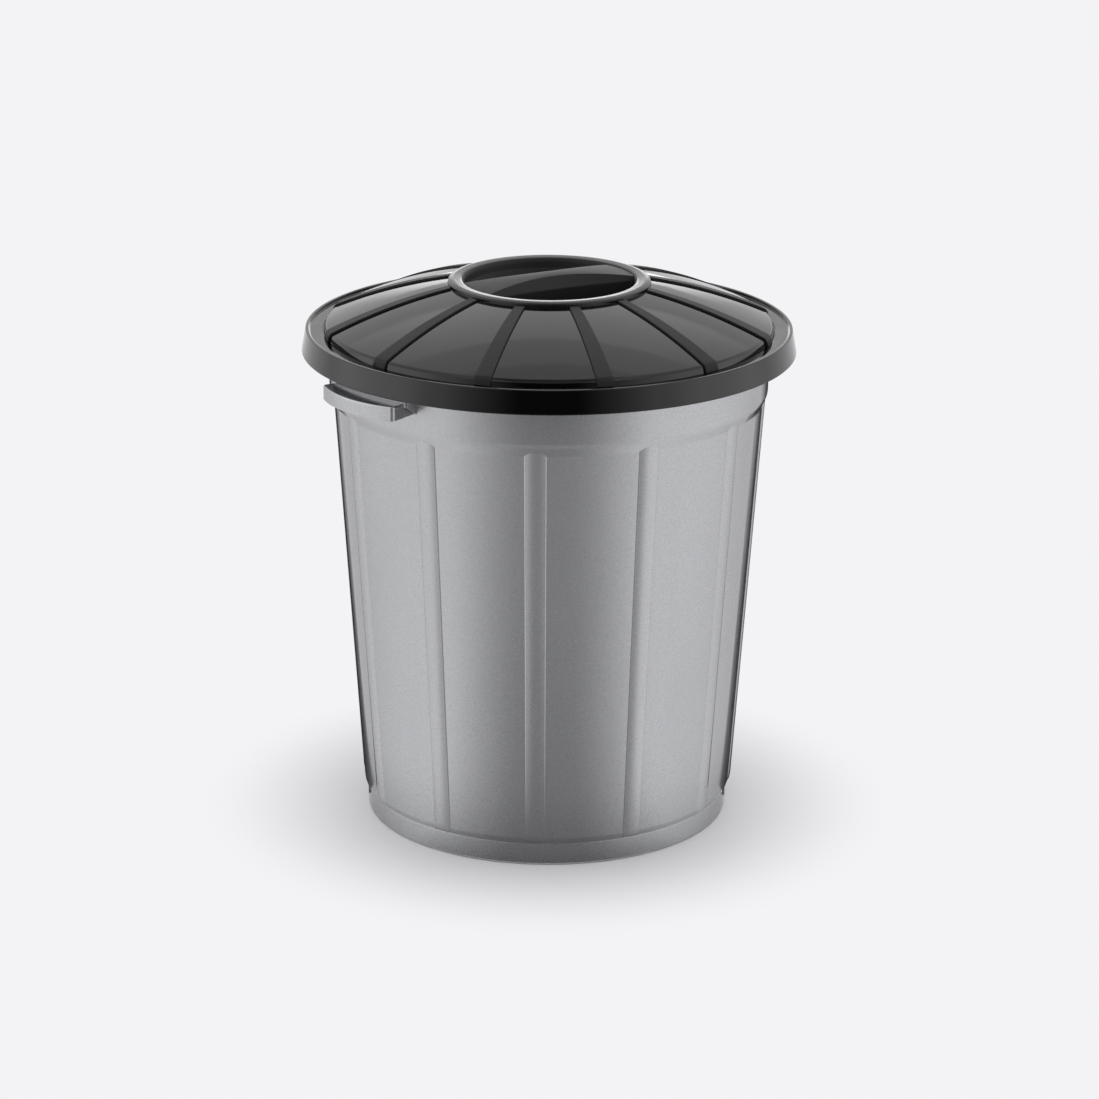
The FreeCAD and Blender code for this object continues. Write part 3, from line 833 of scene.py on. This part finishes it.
def ledge_path(corner_steps=8, bow_steps=48):
    """Plan of the ledge's edge as (point, outward direction), from one end round the front to the other."""
    grip = settings("hand_grips")
    back = polar(settings("bucket").rim_radius - grip.thickness, -grip.half_angle)
    corner = polar(grip.end_radius, -grip.half_angle)
    sag = grip.radius - corner.x
    bow = (corner.y ** 2 + sag ** 2) / (2 * sag)
    centre = Vector((grip.radius - bow, 0, 0))
    start = math.atan2(corner.y, corner.x - centre.x)
    to_back = (back - corner).normalized()
    along = polar(1.0, start + math.pi / 2)
    half = to_back.angle(along) / 2
    setback = grip.corner / math.tan(half)
    pivot = corner + (to_back + along).normalized() * (grip.corner / math.sin(half))
    first = corner + to_back * setback
    side = -to_back.cross(Vector((0, 0, 1)))
    path = [(back, side), (first + to_back * SUPPORT, side)]
    for k in range(corner_steps + 1):
        point = Matrix.Rotation((math.pi - 2 * half) * k / corner_steps, 3, "Z") @ (first - pivot)
        path.append((pivot + point, point.normalized()))
    other_end = [tuple(Vector((item.x, -item.y, 0)) for item in pair) for pair in reversed(path)]
    trim = math.atan2(setback + SUPPORT, bow)
    for k in range(bow_steps + 1):
        point = polar(bow, (start + trim) * (1 - 2 * k / bow_steps))
        path.append((centre + point, point.normalized()))
    return path + other_end


def ledge_section(top_steps=5):
    """Section of the ledge as (inset, height): down inside the lip, round its edge, up and over the top."""
    grip = settings("hand_grips")
    under = grip.top - grip.thickness
    low = grip.top - grip.lip
    middle = grip.thickness / 2
    inside = grip.thickness
    section = [(inside, under), (inside, under - SUPPORT), (inside - 0.05 * MM, low + 0.9 * MM),
               (inside, low + grip.lip_edge)]
    for turn in (math.pi / 4, math.pi / 2, math.pi * 3 / 4):
        inset = middle + (middle - grip.lip_edge) * math.cos(turn)
        section.append((inset, low + grip.lip_edge * (1 - math.sin(turn))))
    section += [(0.0, low + grip.lip_edge), (0.0, low + 0.9 * MM), (0.0, grip.top - grip.top_edge - SUPPORT)]
    for k in range(top_steps + 1):
        turn = math.pi / 2 * k / top_steps
        height = grip.top - grip.top_edge * (1 - math.sin(turn))
        section.append((grip.top_edge * (1 - math.cos(turn)), height))
    return [*section, (grip.top_edge + SUPPORT, grip.top)]


def ledge_mesh(arc_steps=12):
    """Points and faces of the ledge with its down-turned lip, open below."""
    grip = settings("hand_grips")
    path = ledge_path()
    section = ledge_section()
    width = len(path)
    vertices = [(*(point - way * inset).xy, z) for inset, z in section for point, way in path]
    faces = ring_faces(len(section), width, closed=False)
    back = settings("bucket").rim_radius - grip.thickness
    turns = [grip.half_angle * (1 - 2 * k / arc_steps) for k in range(1, arc_steps)]
    borders = []
    for row in (0, len(section) - 1):
        arc = range(len(vertices), len(vertices) + len(turns))
        vertices += [tuple(polar(back, turn, section[row][1])) for turn in turns]
        first = row * width
        faces.append((*range(first, first + width), *arc))
        borders.append([first + width - 1, *arc, first])
    under, top = borders
    faces += zip(under, under[1:], top[1:], top)
    column = range(0, len(section) * width, width)
    faces.append(tuple(column))
    faces.append(tuple(index + width - 1 for index in reversed(column)))
    return vertices, faces


def bevelled(rows):
    """Points and faces of a closed solid from rows of points, with its sharp edges rounded."""
    work = bmesh.new()
    rings = [[work.verts.new(point) for point in row] for row in rows]
    for one, two in zip(rings, rings[1:]):
        for corners in zip(one, one[1:] + one[:1], two[1:] + two[:1], two):
            work.faces.new(corners)
    work.faces.new(rings[0][::-1])
    work.faces.new(rings[-1])
    bmesh.ops.recalc_face_normals(work, faces=work.faces)
    sharp = [edge for edge in work.edges if edge.calc_face_angle() > BEVEL_FROM]
    bmesh.ops.bevel(work, geom=sharp, offset=0.5 * MM, segments=3, profile=0.5, affect="EDGES")
    work.verts.index_update()
    vertices = [tuple(vertex.co) for vertex in work.verts]
    faces = [tuple(vertex.index for vertex in face.verts) for face in work.faces]
    work.free()
    return vertices, faces


def box_outline(inner, outer, low, high):
    """Corners of a plate's outline between two radii and two heights."""
    return [(inner, low), (outer, low), (outer, high), (inner, high)]


def curved_plate(outline, half_angle, steps=24):
    """A bevelled plate: a (radius, height) outline swept around the axis."""
    turns = [half_angle * (2 * k / steps - 1) for k in range(steps + 1)]
    return bevelled([[polar(radius, turn, z) for radius, z in outline] for turn in turns])


def flat_plate(outline, turn, half_angle):
    """A bevelled flat plate: a (radius, height) outline at an angle around the axis, made thick both ways."""
    side = polar(outline[0][0] * half_angle, turn + math.pi / 2)
    return bevelled([[polar(radius, turn, z) + side * sign for radius, z in outline] for sign in (-1, 1)])


def grip_parts():
    """Meshes of one hand grip: the ledge, the apron behind it, two gussets and two plates at its ends."""
    grip = settings("hand_grips")
    bucket = settings("bucket")
    inner = bucket.rim_radius - grip.thickness + 0.05 * MM
    outer = bucket.rim_radius - 0.05 * MM
    under = grip.top - grip.thickness
    foot = under - grip.gusset
    flange_under = bucket.rim_top - bucket.rim_thickness + 0.5 * MM
    wall = collar_radius(foot) - 1.0 * MM
    gusset_outer = inner + 1.0 * MM
    gusset = [(wall, foot - 1.0 * MM), (gusset_outer, under + 0.3 * MM), (gusset_outer, flange_under),
              (wall, flange_under)]
    apron = box_outline(inner, outer, under, bucket.rim_top - bucket.rim_lip + 1.0 * MM)
    end_plate = box_outline(wall, grip.end_radius - grip.thickness / 2, grip.top - grip.lip + 0.4 * MM,
                            under + 0.4 * MM)
    parts = [ledge_mesh(), curved_plate(apron, grip.apron_angle)]
    width = grip.thickness / outer
    for side in (-1, 1):
        parts.append(flat_plate(gusset, side * (grip.apron_angle - width / 2), width / 2))
        parts.append(flat_plate(end_plate, side * (grip.half_angle - width * 0.45), width * 0.4))
    return parts


def joined(name, parts, turn, finish):
    """One object from several meshes, turned about the upright axis."""
    vertices = []
    faces = []
    for part_vertices, part_faces in parts:
        base = len(vertices)
        vertices += part_vertices
        faces += [tuple(index + base for index in face) for face in part_faces]
    made = mesh_object(name, vertices, faces)
    made.data.transform(Matrix.Rotation(turn, 4, "Z"))
    outward(made.data)
    made.data.materials.append(finish)
    return made


class BIN_OT_hand_grips(bpy.types.Operator):
    """Make the two ledge grips under the rim"""

    bl_idname = "bin.hand_grips"
    bl_label = "Hand grips"

    def execute(self, context):
        for name, turn in (("hand_grip_right", 0.0), ("hand_grip_left", math.pi)):
            piece = joined(name, grip_parts(), turn, finish_of("silver_metallic_plastic"))
            settle(piece, BUCKET_BODY, SILVER_SLOT, "bucket")
        return {"FINISHED"}


# ---------------------------------------------------------------- lid


def dome_centre():
    """Height of the centre of the dome's sphere."""
    lid = settings("lid")
    top = settings("bucket").rim_top + lid.ledge + lid.shoulder_height
    return top - math.sqrt(lid.dome_radius ** 2 - lid.shoulder ** 2)


def dome_height(radius, lift=0.0):
    """Height of the dome at a radius, lifted off its surface."""
    return dome_centre() + math.sqrt((settings("lid").dome_radius + lift) ** 2 - radius ** 2)


def seat_radius():
    """Radius of the seat that the lid's grip lies in."""
    grip = settings("lid_grip")
    return grip.radius + grip.clearance


def seat_height():
    """Height of the seat that the lid's grip lies in."""
    return dome_height(seat_radius()) - SINK


def dome_corners(outer, inner, lift, steps=40):
    """Points along the dome's section."""
    reaches = [outer + (inner - outer) * k / steps for k in range(steps + 1)]
    return [(radius, dome_height(radius, lift), 0) for radius in reaches]


def lid_corners():
    """Rounded corners of the lid's closed section."""
    lid = settings("lid")
    grip = settings("lid_grip")
    rim_top = settings("bucket").rim_top
    skirt_low = rim_top - lid.skirt_drop
    ledge_top = rim_top + lid.ledge
    lip_top = rim_top + lid.lip_height
    lip_inner = lid.top_radius - lid.lip_width
    hole = seat_radius() - grip.seat_width
    seat = seat_height()
    seat_low = seat - grip.seat_thickness
    seat_outer = seat_radius() + 3.0 * MM
    shoulder_inner = lid.shoulder - lid.thickness
    return [
        (lid.skirt_radius, skirt_low, 1.0 * MM),
        (lid.top_radius, lip_top, 1.0 * MM),
        (lip_inner, lip_top, 0.8 * MM),
        (lip_inner - 1.0 * MM, ledge_top, 0.6 * MM),
        (lid.dome_foot + lid.groove, ledge_top, 0.2 * MM),
        (lid.dome_foot + lid.groove * 0.7, ledge_top - lid.groove, 0.2 * MM),
        (lid.dome_foot, ledge_top - lid.groove, 0.2 * MM),
        (lid.shoulder, dome_height(lid.shoulder), lid.shoulder_round),
        *dome_corners(lid.shoulder - lid.shoulder_round * 0.8, seat_radius() + 1.0 * MM, 0),
        (seat_radius(), dome_height(seat_radius()), 0.12 * MM),
        (seat_radius(), seat, 0),
        (hole, seat, 0.4 * MM),
        (hole, seat_low, 0.4 * MM),
        (seat_outer, seat_low, 0.5 * MM),
        (seat_outer, dome_height(seat_outer, -lid.thickness), 0.4 * MM),
        *dome_corners(seat_outer + 1.0 * MM, shoulder_inner - 3.0 * MM, -lid.thickness),
        (shoulder_inner, dome_height(shoulder_inner, -lid.thickness), 1.0 * MM),
        (lid.dome_foot - lid.thickness, rim_top, 0.8 * MM),
        (lid.top_radius - lid.thickness, rim_top, 0.8 * MM),
        (lid.skirt_radius - lid.thickness, skirt_low, 0.7 * MM),
    ]


def turn_with_lid(piece):
    """Turns a piece's mesh to where the lid sits on the rim."""
    piece.data.transform(Matrix.Rotation(settings("lid").turn, 4, "Z"))


def strip_path(dome_steps=32, round_steps=9):
    """Section line that the strips follow: (radius, height) points, each with its outward direction."""
    lid = settings("lid")
    ledge_top = settings("bucket").rim_top + lid.ledge
    wall = Vector((lid.dome_foot - lid.shoulder, ledge_top - dome_height(lid.shoulder))).normalized()
    end_tilt = math.atan2(wall.x, -wall.y)
    first_tilt = math.acos(lid.shoulder / lid.dome_radius)
    start = seat_radius() + 0.3 * MM
    end = lid.shoulder - lid.shoulder_round * math.tan((first_tilt - end_tilt) / 2) * math.sin(first_tilt)
    path = []
    for k in range(dome_steps + 1):
        radius = start + (end - start) * k / dome_steps
        point = Vector((radius, dome_height(radius)))
        path.append((point, (point - Vector((0, dome_centre()))) / lid.dome_radius))
    point, way = path[-1]
    tilt = math.atan2(way.y, way.x)
    pivot = point - lid.shoulder_round * way
    for k in range(1, round_steps + 1):
        way = polar(1.0, tilt + (end_tilt - tilt) * k / round_steps).xy
        path.append((pivot + lid.shoulder_round * way, way))
    foot = path[-1][0]
    drop = wall * ((foot.y - ledge_top + SINK) / -wall.y)
    return [*path, (foot + drop / 2, way), (foot + drop, way)]


def strip_section(half_width, height):
    """Half section of a strip as (offset, height), from its foot to its middle."""
    return [
        (half_width, -BURY),
        (half_width - 0.02 * MM, height * 0.55),
        (half_width - 0.06 * MM, height * 0.78),
        (half_width - 0.18 * MM, height * 0.93),
        (half_width - 0.40 * MM, height * 0.99),
        (half_width - 0.75 * MM, height),
        (half_width * 0.45, height),
    ]


def make_strip():
    """One strip along +X, wedge-shaped in plan, from the grip over the shoulder down to the ledge."""
    strips = settings("strips")
    start = seat_radius()
    rows = []
    for point, way in strip_path():
        share = (point.x - start) / (settings("lid").dome_foot - start)
        half = (strips.inner_width + (strips.outer_width - strips.inner_width) * share) / 2
        row = []
        for offset, lift in mirrored(strip_section(half, strips.height)):
            place = point + way * lift
            row.append((math.sqrt(place.x ** 2 - offset ** 2), offset, place.y))
        rows.append(row)
    return grid_solid("lid_strips", rows)


class BIN_OT_lid(bpy.types.Operator):
    """Make the lid: skirt, rim lip, ledge, dome and the seat for its grip"""

    bl_idname = "bin.lid"
    bl_label = "Lid"

    def execute(self, context):
        black = finish_of("gloss_black_plastic")
        shell = turned("lid_shell", lid_corners(), True, settings("lid").segments, black)
        turn_with_lid(settle(shell, LID_BODY, BLACK_SLOT, "lid"))
        return {"FINISHED"}


class BIN_OT_strips(bpy.types.Operator):
    """Make the raised matt strips on the lid"""

    bl_idname = "bin.strips"
    bl_label = "Lid strips"

    def execute(self, context):
        strips = settings("strips")
        first = strips.first + settings("lid").turn
        piece = repeated(make_strip(), strips.number, first, finish_of("matt_black_plastic"))
        settle(piece, LID_BODY, BLACK_SLOT, "lid")
        return {"FINISHED"}


# ---------------------------------------------------------------- grip in the lid


def cup_top_radius():
    """Inner radius of the cup where it passes through the lid."""
    grip = settings("lid_grip")
    return seat_radius() - grip.seat_width - grip.clearance - grip.thickness


def grip_corners():
    """Rounded corners of the section through the grip's ring and cup."""
    grip = settings("lid_grip")
    seat = seat_height()
    seat_low = seat - grip.seat_thickness
    top = seat + grip.ring_height
    floor = top - grip.cup_depth
    ring_inner = grip.radius - grip.ring_width
    floor_radius = ring_inner - grip.cup_lean
    cup_top = cup_top_radius()
    return [
        (0, floor - grip.thickness, 0),
        (floor_radius + 0.8 * MM, floor - grip.thickness, 3.0 * MM),
        (cup_top + grip.thickness, seat_low, 1.0 * MM),
        (cup_top + grip.thickness, seat, 0.3 * MM),
        (grip.radius, seat, 0.3 * MM),
        (grip.radius, top - grip.ring_crown, 1.6 * MM),
        (grip.radius - grip.ring_width * 0.26, top, 8.0 * MM),
        (ring_inner + grip.ring_round * 0.1, top - grip.ring_dip, grip.ring_round),
        (cup_top, seat_low - 1.0 * MM, 4.0 * MM),
        (floor_radius, floor, 5.0 * MM),
        (0, floor, 0),
    ]


def bar_section(along, inset, low, crown_steps=4):
    """Half section of the bar as (offset, height) at a distance along it, from its foot up to the middle."""
    grip = settings("lid_grip")
    share = (along / (grip.radius - grip.ring_width)) ** 2
    crown_half = grip.bar_waist + (grip.bar_end - grip.bar_waist) * share - inset
    foot_half = grip.base_waist + (grip.base_end - grip.base_waist) * share - inset
    ridge = seat_height() + grip.ring_height + grip.bar_rise
    crown = ridge - inset - (grip.bar_crown - math.sqrt(grip.bar_crown ** 2 - along ** 2))
    shoulder = ridge - grip.slope_height - inset / 2
    edge_half = foot_half + (crown_half - foot_half) * (crown - shoulder) / (ridge - inset - shoulder)
    edge_round = 0.9 * MM if inset == 0 else 0.5 * MM
    corners = [(foot_half + 0.01 * MM, low, 0), (foot_half, shoulder, 2.5 * MM),
               (edge_half, crown - grip.bar_sag, edge_round)]
    for k in reversed(range(crown_steps)):
        out = k / crown_steps
        corners.append((edge_half * out, crown - grip.bar_sag * out ** 2, 0))
    return rounded(corners, False, 5)


def bar_rows(inset, end, low, columns=56):
    """Rows of points of one skin of the bar, from one end to the other, cut off along the cup's wall."""
    grip = settings("lid_grip")
    seat = seat_height()
    rows = []
    for k in range(columns + 1):
        share = 2 * k / columns - 1
        half = bar_section(share * end, inset, low)
        row = []
        for offset, height in half + [(-offset, height) for offset, height in reversed(half[:-1])]:
            lean = grip.cup_lean * clamped((seat - height) / (seat - low))
            lean -= grip.ring_round * 0.4 * clamped((height - seat) / grip.ring_height)
            limit = math.sqrt(max(0.0, (end - lean) ** 2 - offset ** 2))
            row.append((max(-limit, min(limit, share * (end - lean))), offset, height))
        rows.append(row)
    return rows


def make_bar():
    """Points and faces of the bar, hollow from below: an outer and an inner skin joined along the foot."""
    grip = settings("lid_grip")
    low = seat_height() + grip.ring_height - grip.cup_depth - grip.thickness
    outer_end = grip.radius - grip.ring_width - 0.4 * MM
    vertices = []
    faces = []
    borders = []
    for inset, end in ((0.0, outer_end), (grip.thickness, cup_top_radius() - grip.thickness)):
        rows = bar_rows(inset, end, low)
        base = len(vertices)
        width = len(rows[0])
        last = base + width * (len(rows) - 1)
        vertices += [point for row in rows for point in row]
        faces += ring_faces(len(rows), width, False, base)
        faces += [tuple(range(base, base + width)), tuple(range(last, last + width))]
        column = range(base, last + 1, width)
        borders.append([*column, *(index + width - 1 for index in reversed(column))])
    outer, inner = borders
    faces += zip(outer, outer[1:] + outer[:1], inner[1:] + inner[:1], inner)
    return vertices, faces


def line_cup(mesh, finish):
    """Gives the inside of the cup its own finish."""
    grip = settings("lid_grip")
    edge = grip.radius - grip.ring_width + grip.ring_round * 0.4
    mesh.materials.append(finish)
    for face in mesh.polygons:
        if math.hypot(*face.center.xy) < edge:
            face.material_index = 1


class BIN_OT_lid_grip(bpy.types.Operator):
    """Make the grip in the lid: ring, finger cup and waisted bar"""

    bl_idname = "bin.lid_grip"
    bl_label = "Lid grip"

    def execute(self, context):
        lid = settings("lid")
        satin = finish_of("satin_black_plastic")
        matt = finish_of("matt_black_plastic")
        ring = turned("grip_ring", grip_corners(), False, lid.segments, satin)
        turn_with_lid(settle(ring, LID_BODY, BLACK_SLOT, "lid_grip"))
        line_cup(ring.data, matt)
        settle(joined("grip_bar", [make_bar()], lid.turn, matt), LID_BODY, BLACK_SLOT, "lid_grip")
        return {"FINISHED"}


# ---------------------------------------------------------------- stage


def photo_direction(turn, elevation=0.0):
    """Direction from the bin, turned from the photo camera's side, positive to the camera's right."""
    azimuth = settings("stage").azimuth + turn
    return Vector((math.sin(azimuth) * math.cos(elevation), -math.cos(azimuth) * math.cos(elevation),
                   math.sin(elevation)))


def soften_edges(data, share=0.35):
    """Lets a lamp's brightness fall off over a share of its width, toward its left and right edges."""
    data.use_nodes = True
    tree = data.node_tree
    spot = node(tree, "ShaderNodeNewGeometry").outputs["Parametric"]
    across = fed(tree, "ShaderNodeSeparateXYZ", {"Vector": spot}, "X")
    edge = maths(tree, "MINIMUM", across, maths(tree, "SUBTRACT", 1.0, across))
    feed(remap(tree, edge, 0.0, share, kind="SMOOTHSTEP"), tree.nodes["Emission"].inputs["Strength"])


def soft_box(name, turn, elevation, distance, width, height, radiance):
    """A rectangular soft light that looks at the bin, at a place given from the camera's side, in degrees."""
    place = photo_direction(math.radians(turn), math.radians(elevation)) * distance
    lamp = placed(name, bpy.data.lights.new(name, "AREA"))
    lamp.data.shape = "RECTANGLE"
    lamp.data.size = width
    lamp.data.size_y = height
    lamp.data.energy = radiance * math.pi * width * height
    soften_edges(lamp.data)
    lamp.location = place + LIT_POINT
    lamp.rotation_euler = (-place).to_track_quat("-Z", "Y").to_euler()


def add_camera():
    """The camera that the photograph was taken from."""
    stage = settings("stage")
    back = photo_direction(0.0, stage.elevation)
    right = Vector((math.cos(stage.azimuth), math.sin(stage.azimuth), 0))
    turn = Matrix((right, back.cross(right), back)).transposed() @ Matrix.Rotation(stage.roll, 3, "Z")
    place = Vector((0, 0, stage.target)) + back * stage.distance + right * stage.aside
    camera = placed("photo_camera", bpy.data.cameras.new("photo_camera"))
    camera.data.sensor_width = 36.0
    camera.data.lens = stage.lens
    camera.data.clip_end = 50.0
    camera.matrix_world = Matrix.Translation(place) @ turn.to_4x4()
    bpy.context.scene.camera = camera


def shown_rays(tree):
    """Rays that may see the even backdrop colour: from the camera, off gloss and through glass."""
    rays = node(tree, "ShaderNodeLightPath").outputs
    total = maths(tree, "ADD", rays["Is Camera Ray"], rays["Is Glossy Ray"])
    total = maths(tree, "ADD", total, rays["Is Transmission Ray"])
    return maths(tree, "MINIMUM", total, 1.0)


def end_shader(tree, name, share, one, two):
    """Ends a shader tree at the named output node with a blend of two shaders."""
    blend = fed(tree, "ShaderNodeMixShader", {0: share, 1: one, 2: two}, "Shader")
    feed(blend, tree.nodes[name].inputs["Surface"])


def pale_floor():
    """Floor finish: plain paint near the bin, which keeps the shadow, and the even backdrop colour beyond."""
    stage = settings("stage")
    finish, tree, surface = new_finish("pale_floor")
    set_all(surface, {"Base Color": (*stage.floor, 1.0), "Roughness": 0.9, "Specular IOR Level": 0.0})
    reach = vector_maths(tree, "LENGTH", "Value", object_place(tree))
    fade = remap(tree, reach, stage.fade_start, stage.fade_end, kind="SMOOTHSTEP")
    share = maths(tree, "MULTIPLY", fade, shown_rays(tree))
    glow = fed(tree, "ShaderNodeEmission", {"Color": (*stage.backdrop, 1.0)}, "Emission")
    end_shader(tree, "Material Output", share, tree.nodes["Principled BSDF"].outputs["BSDF"], glow)
    return finish


def add_floor(reach=16.0, low=-0.1 * MM):
    """A wide plain pale floor, just below the bin's foot."""
    corners = [(-reach, -reach, low), (reach, -reach, low), (reach, reach, low), (-reach, reach, low)]
    floor = mesh_object("floor", corners, [(0, 1, 2, 3)])
    floor.data.materials.append(pale_floor())


def add_world():
    """An even, pale room."""
    stage = settings("stage")
    world = bpy.data.worlds.new("pale_room")
    world.use_nodes = True
    tree = world.node_tree
    room = tree.nodes["Background"]
    set_all(room.inputs, {"Color": (*stage.room, 1.0), "Strength": 1.0})
    seen = fed(tree, "ShaderNodeBackground", {"Color": (*stage.backdrop, 1.0), "Strength": 1.0}, "Background")
    end_shader(tree, "World Output", shown_rays(tree), room.outputs["Background"], seen)
    bpy.context.scene.world = world


def black_card(name, vertices, faces, finish):
    """A card on the stage that shows only as a reflection."""
    card = mesh_object(name, vertices, faces)
    card.data.materials.append(finish)
    card.visible_camera = False
    card.visible_diffuse = False
    card.visible_shadow = False
    return card


def card_finish(name, cover=1.0):
    """Black that covers a share of what lies behind it, its tree and the inputs of its surface shader."""
    finish, tree, surface = new_finish(name)
    set_all(surface, {"Base Color": (0.0, 0.0, 0.0, 1.0), "Specular IOR Level": 0.0, "Roughness": 1.0,
                      "Alpha": cover})
    return finish, tree, surface


def front_finish():
    """Black that fades out sideways and is thinner on the floor near the bin."""
    stage = settings("stage")
    finish, tree, _ = card_finish("front_card")
    place = object_place(tree)
    flat = vector_maths(tree, "MULTIPLY", "Vector", place, (1.0, 1.0, 0.0))
    unit = vector_maths(tree, "NORMALIZE", "Vector", flat)
    ahead = vector_maths(tree, "DOT_PRODUCT", "Value", unit, photo_direction(0.0))
    sideways = remap(tree, ahead, math.cos(stage.card_clear), math.cos(stage.card_dark))
    reach = vector_maths(tree, "LENGTH", "Value", place)
    height = fed(tree, "ShaderNodeSeparateXYZ", {"Vector": place}, "Z")
    beside_bin = (0.2, 1.0)
    upright_part = (0.01, 0.3)
    far_away = (1.15, 1.8)
    cover = remap(tree, reach, *beside_bin, stage.card_near, stage.card_far)
    cover = maths(tree, "MAXIMUM", cover, remap(tree, height, *upright_part))
    cover = maths(tree, "MAXIMUM", cover, remap(tree, reach, *far_away))
    share = maths(tree, "MULTIPLY", sideways, cover)
    nothing = node(tree, "ShaderNodeBsdfTransparent").outputs["BSDF"]
    end_shader(tree, "Material Output", share, nothing, tree.nodes["Principled BSDF"].outputs["BSDF"])
    return finish


def front_card(steps=24, low=2 * MM):
    """A black card before the bin: a sector on the floor, then a curved upright part."""
    stage = settings("stage")
    foot = Vector((0, 0, low))
    top = Vector((0, 0, stage.card_top))
    vertices = []
    for k in range(steps + 1):
        way = photo_direction(stage.card_clear * (2 * k / steps - 1))
        vertices += [way * stage.card_start + foot, way * stage.card_end + foot, way * stage.card_end + top]
    black_card("front_card", vertices, ring_faces(steps + 1, 3, closed=False), front_finish())


def wedge_finish():
    """Black whose cover is stored on the card's own points."""
    finish, tree, surface = card_finish("outline_cards")
    feed(node(tree, "ShaderNodeAttribute", attribute_name="cover").outputs["Fac"], surface["Alpha"])
    return finish


def outline_card(name, sign, spread, low=1.5 * MM):
    """A black wedge on the floor behind one side of the bin, which draws that side's edge."""
    back = photo_direction(math.pi)
    side = Vector((-back.y, back.x, 0)) * sign
    # Lines along the wedge, from its inside out: distance to the side at the bin, slope sideways and cover.
    across = ((0.10, 0.0, 0.0), (0.19, 0.03, 1.0), (0.205, spread * 0.6, 1.0), (0.22, spread, 0.0))
    vertices = []
    for away in (0.0, settings("stage").wedge_reach):
        for start, slope, _ in across:
            vertices.append(back * away + side * (start + slope * away) + Vector((0, 0, low)))
    finish = bpy.data.materials.get("outline_cards") or wedge_finish()
    card = black_card(name, vertices, ring_faces(2, len(across), closed=False), finish)
    covers = card.data.attributes.new("cover", "FLOAT", "POINT")
    for k, item in enumerate(covers.data):
        item.value = across[k % len(across)][2]


def ceiling_card():
    """A black card above and in front of the bin, which darkens what the lid's edges mirror."""
    stage = settings("stage")
    front = photo_direction(0.0)
    side = Vector((-front.y, front.x, 0))
    up = Vector((0, 0, stage.ceiling))
    # Both ends of the card: distance to the front and half width.
    ends = ((-0.55, 0.8), (4.6, 1.5))
    vertices = [front * away + side * sign * half + up for away, half in ends for sign in (-1, 1)]
    finish = card_finish("ceiling_card", stage.ceiling_cover)[0]
    black_card("ceiling_card", vertices, [(0, 1, 3, 2)], finish)


class BIN_OT_stage(bpy.types.Operator):
    """Make the camera, the floor, the room and the lights"""

    bl_idname = "bin.stage"
    bl_label = "Stage"

    def execute(self, context):
        context.scene.view_settings.view_transform = "Standard"
        add_camera()
        add_floor()
        add_world()
        front_card()
        outline_card("outline_card_left", 1, 0.46)
        outline_card("outline_card_right", -1, 0.60)
        ceiling_card()
        for box in SOFT_BOXES:
            soft_box(*box)
        return {"FINISHED"}


# ---------------------------------------------------------------- add-on


STEPS = (BIN_OT_bucket, BIN_OT_ribs, BIN_OT_hand_grips, BIN_OT_lid, BIN_OT_strips, BIN_OT_lid_grip,
         BIN_OT_stage)


class BIN_PT_panel(bpy.types.Panel):
    """Sizes and steps of the bin"""

    bl_idname = "BIN_PT_panel"
    bl_label = "Round waste bin"
    bl_space_type = "VIEW_3D"
    bl_region_type = "UI"
    bl_category = "Bin"

    def draw(self, context):
        for name, group in GROUPS.items():
            box = self.layout.box()
            box.label(text=group.__doc__)
            for key in group.__annotations__:
                box.prop(getattr(context.scene, name), key)
        for step in STEPS:
            self.layout.operator(step.bl_idname)


def register():
    for name, group in GROUPS.items():
        bpy.utils.register_class(group)
        setattr(bpy.types.Scene, name, bpy.props.PointerProperty(type=group))
    for step in STEPS:
        bpy.utils.register_class(step)
    bpy.utils.register_class(BIN_PT_panel)


def unregister():
    bpy.utils.unregister_class(BIN_PT_panel)
    for step in reversed(STEPS):
        bpy.utils.unregister_class(step)
    for name, group in reversed(GROUPS.items()):
        delattr(bpy.types.Scene, name)
        bpy.utils.unregister_class(group)


def main():
    register()
    bpy.ops.bin.bucket()
    bpy.ops.bin.ribs()
    bpy.ops.bin.hand_grips()
    bpy.ops.bin.lid()
    bpy.ops.bin.strips()
    bpy.ops.bin.lid_grip()
    bpy.ops.bin.stage()


if __name__ == "__main__":
    main()
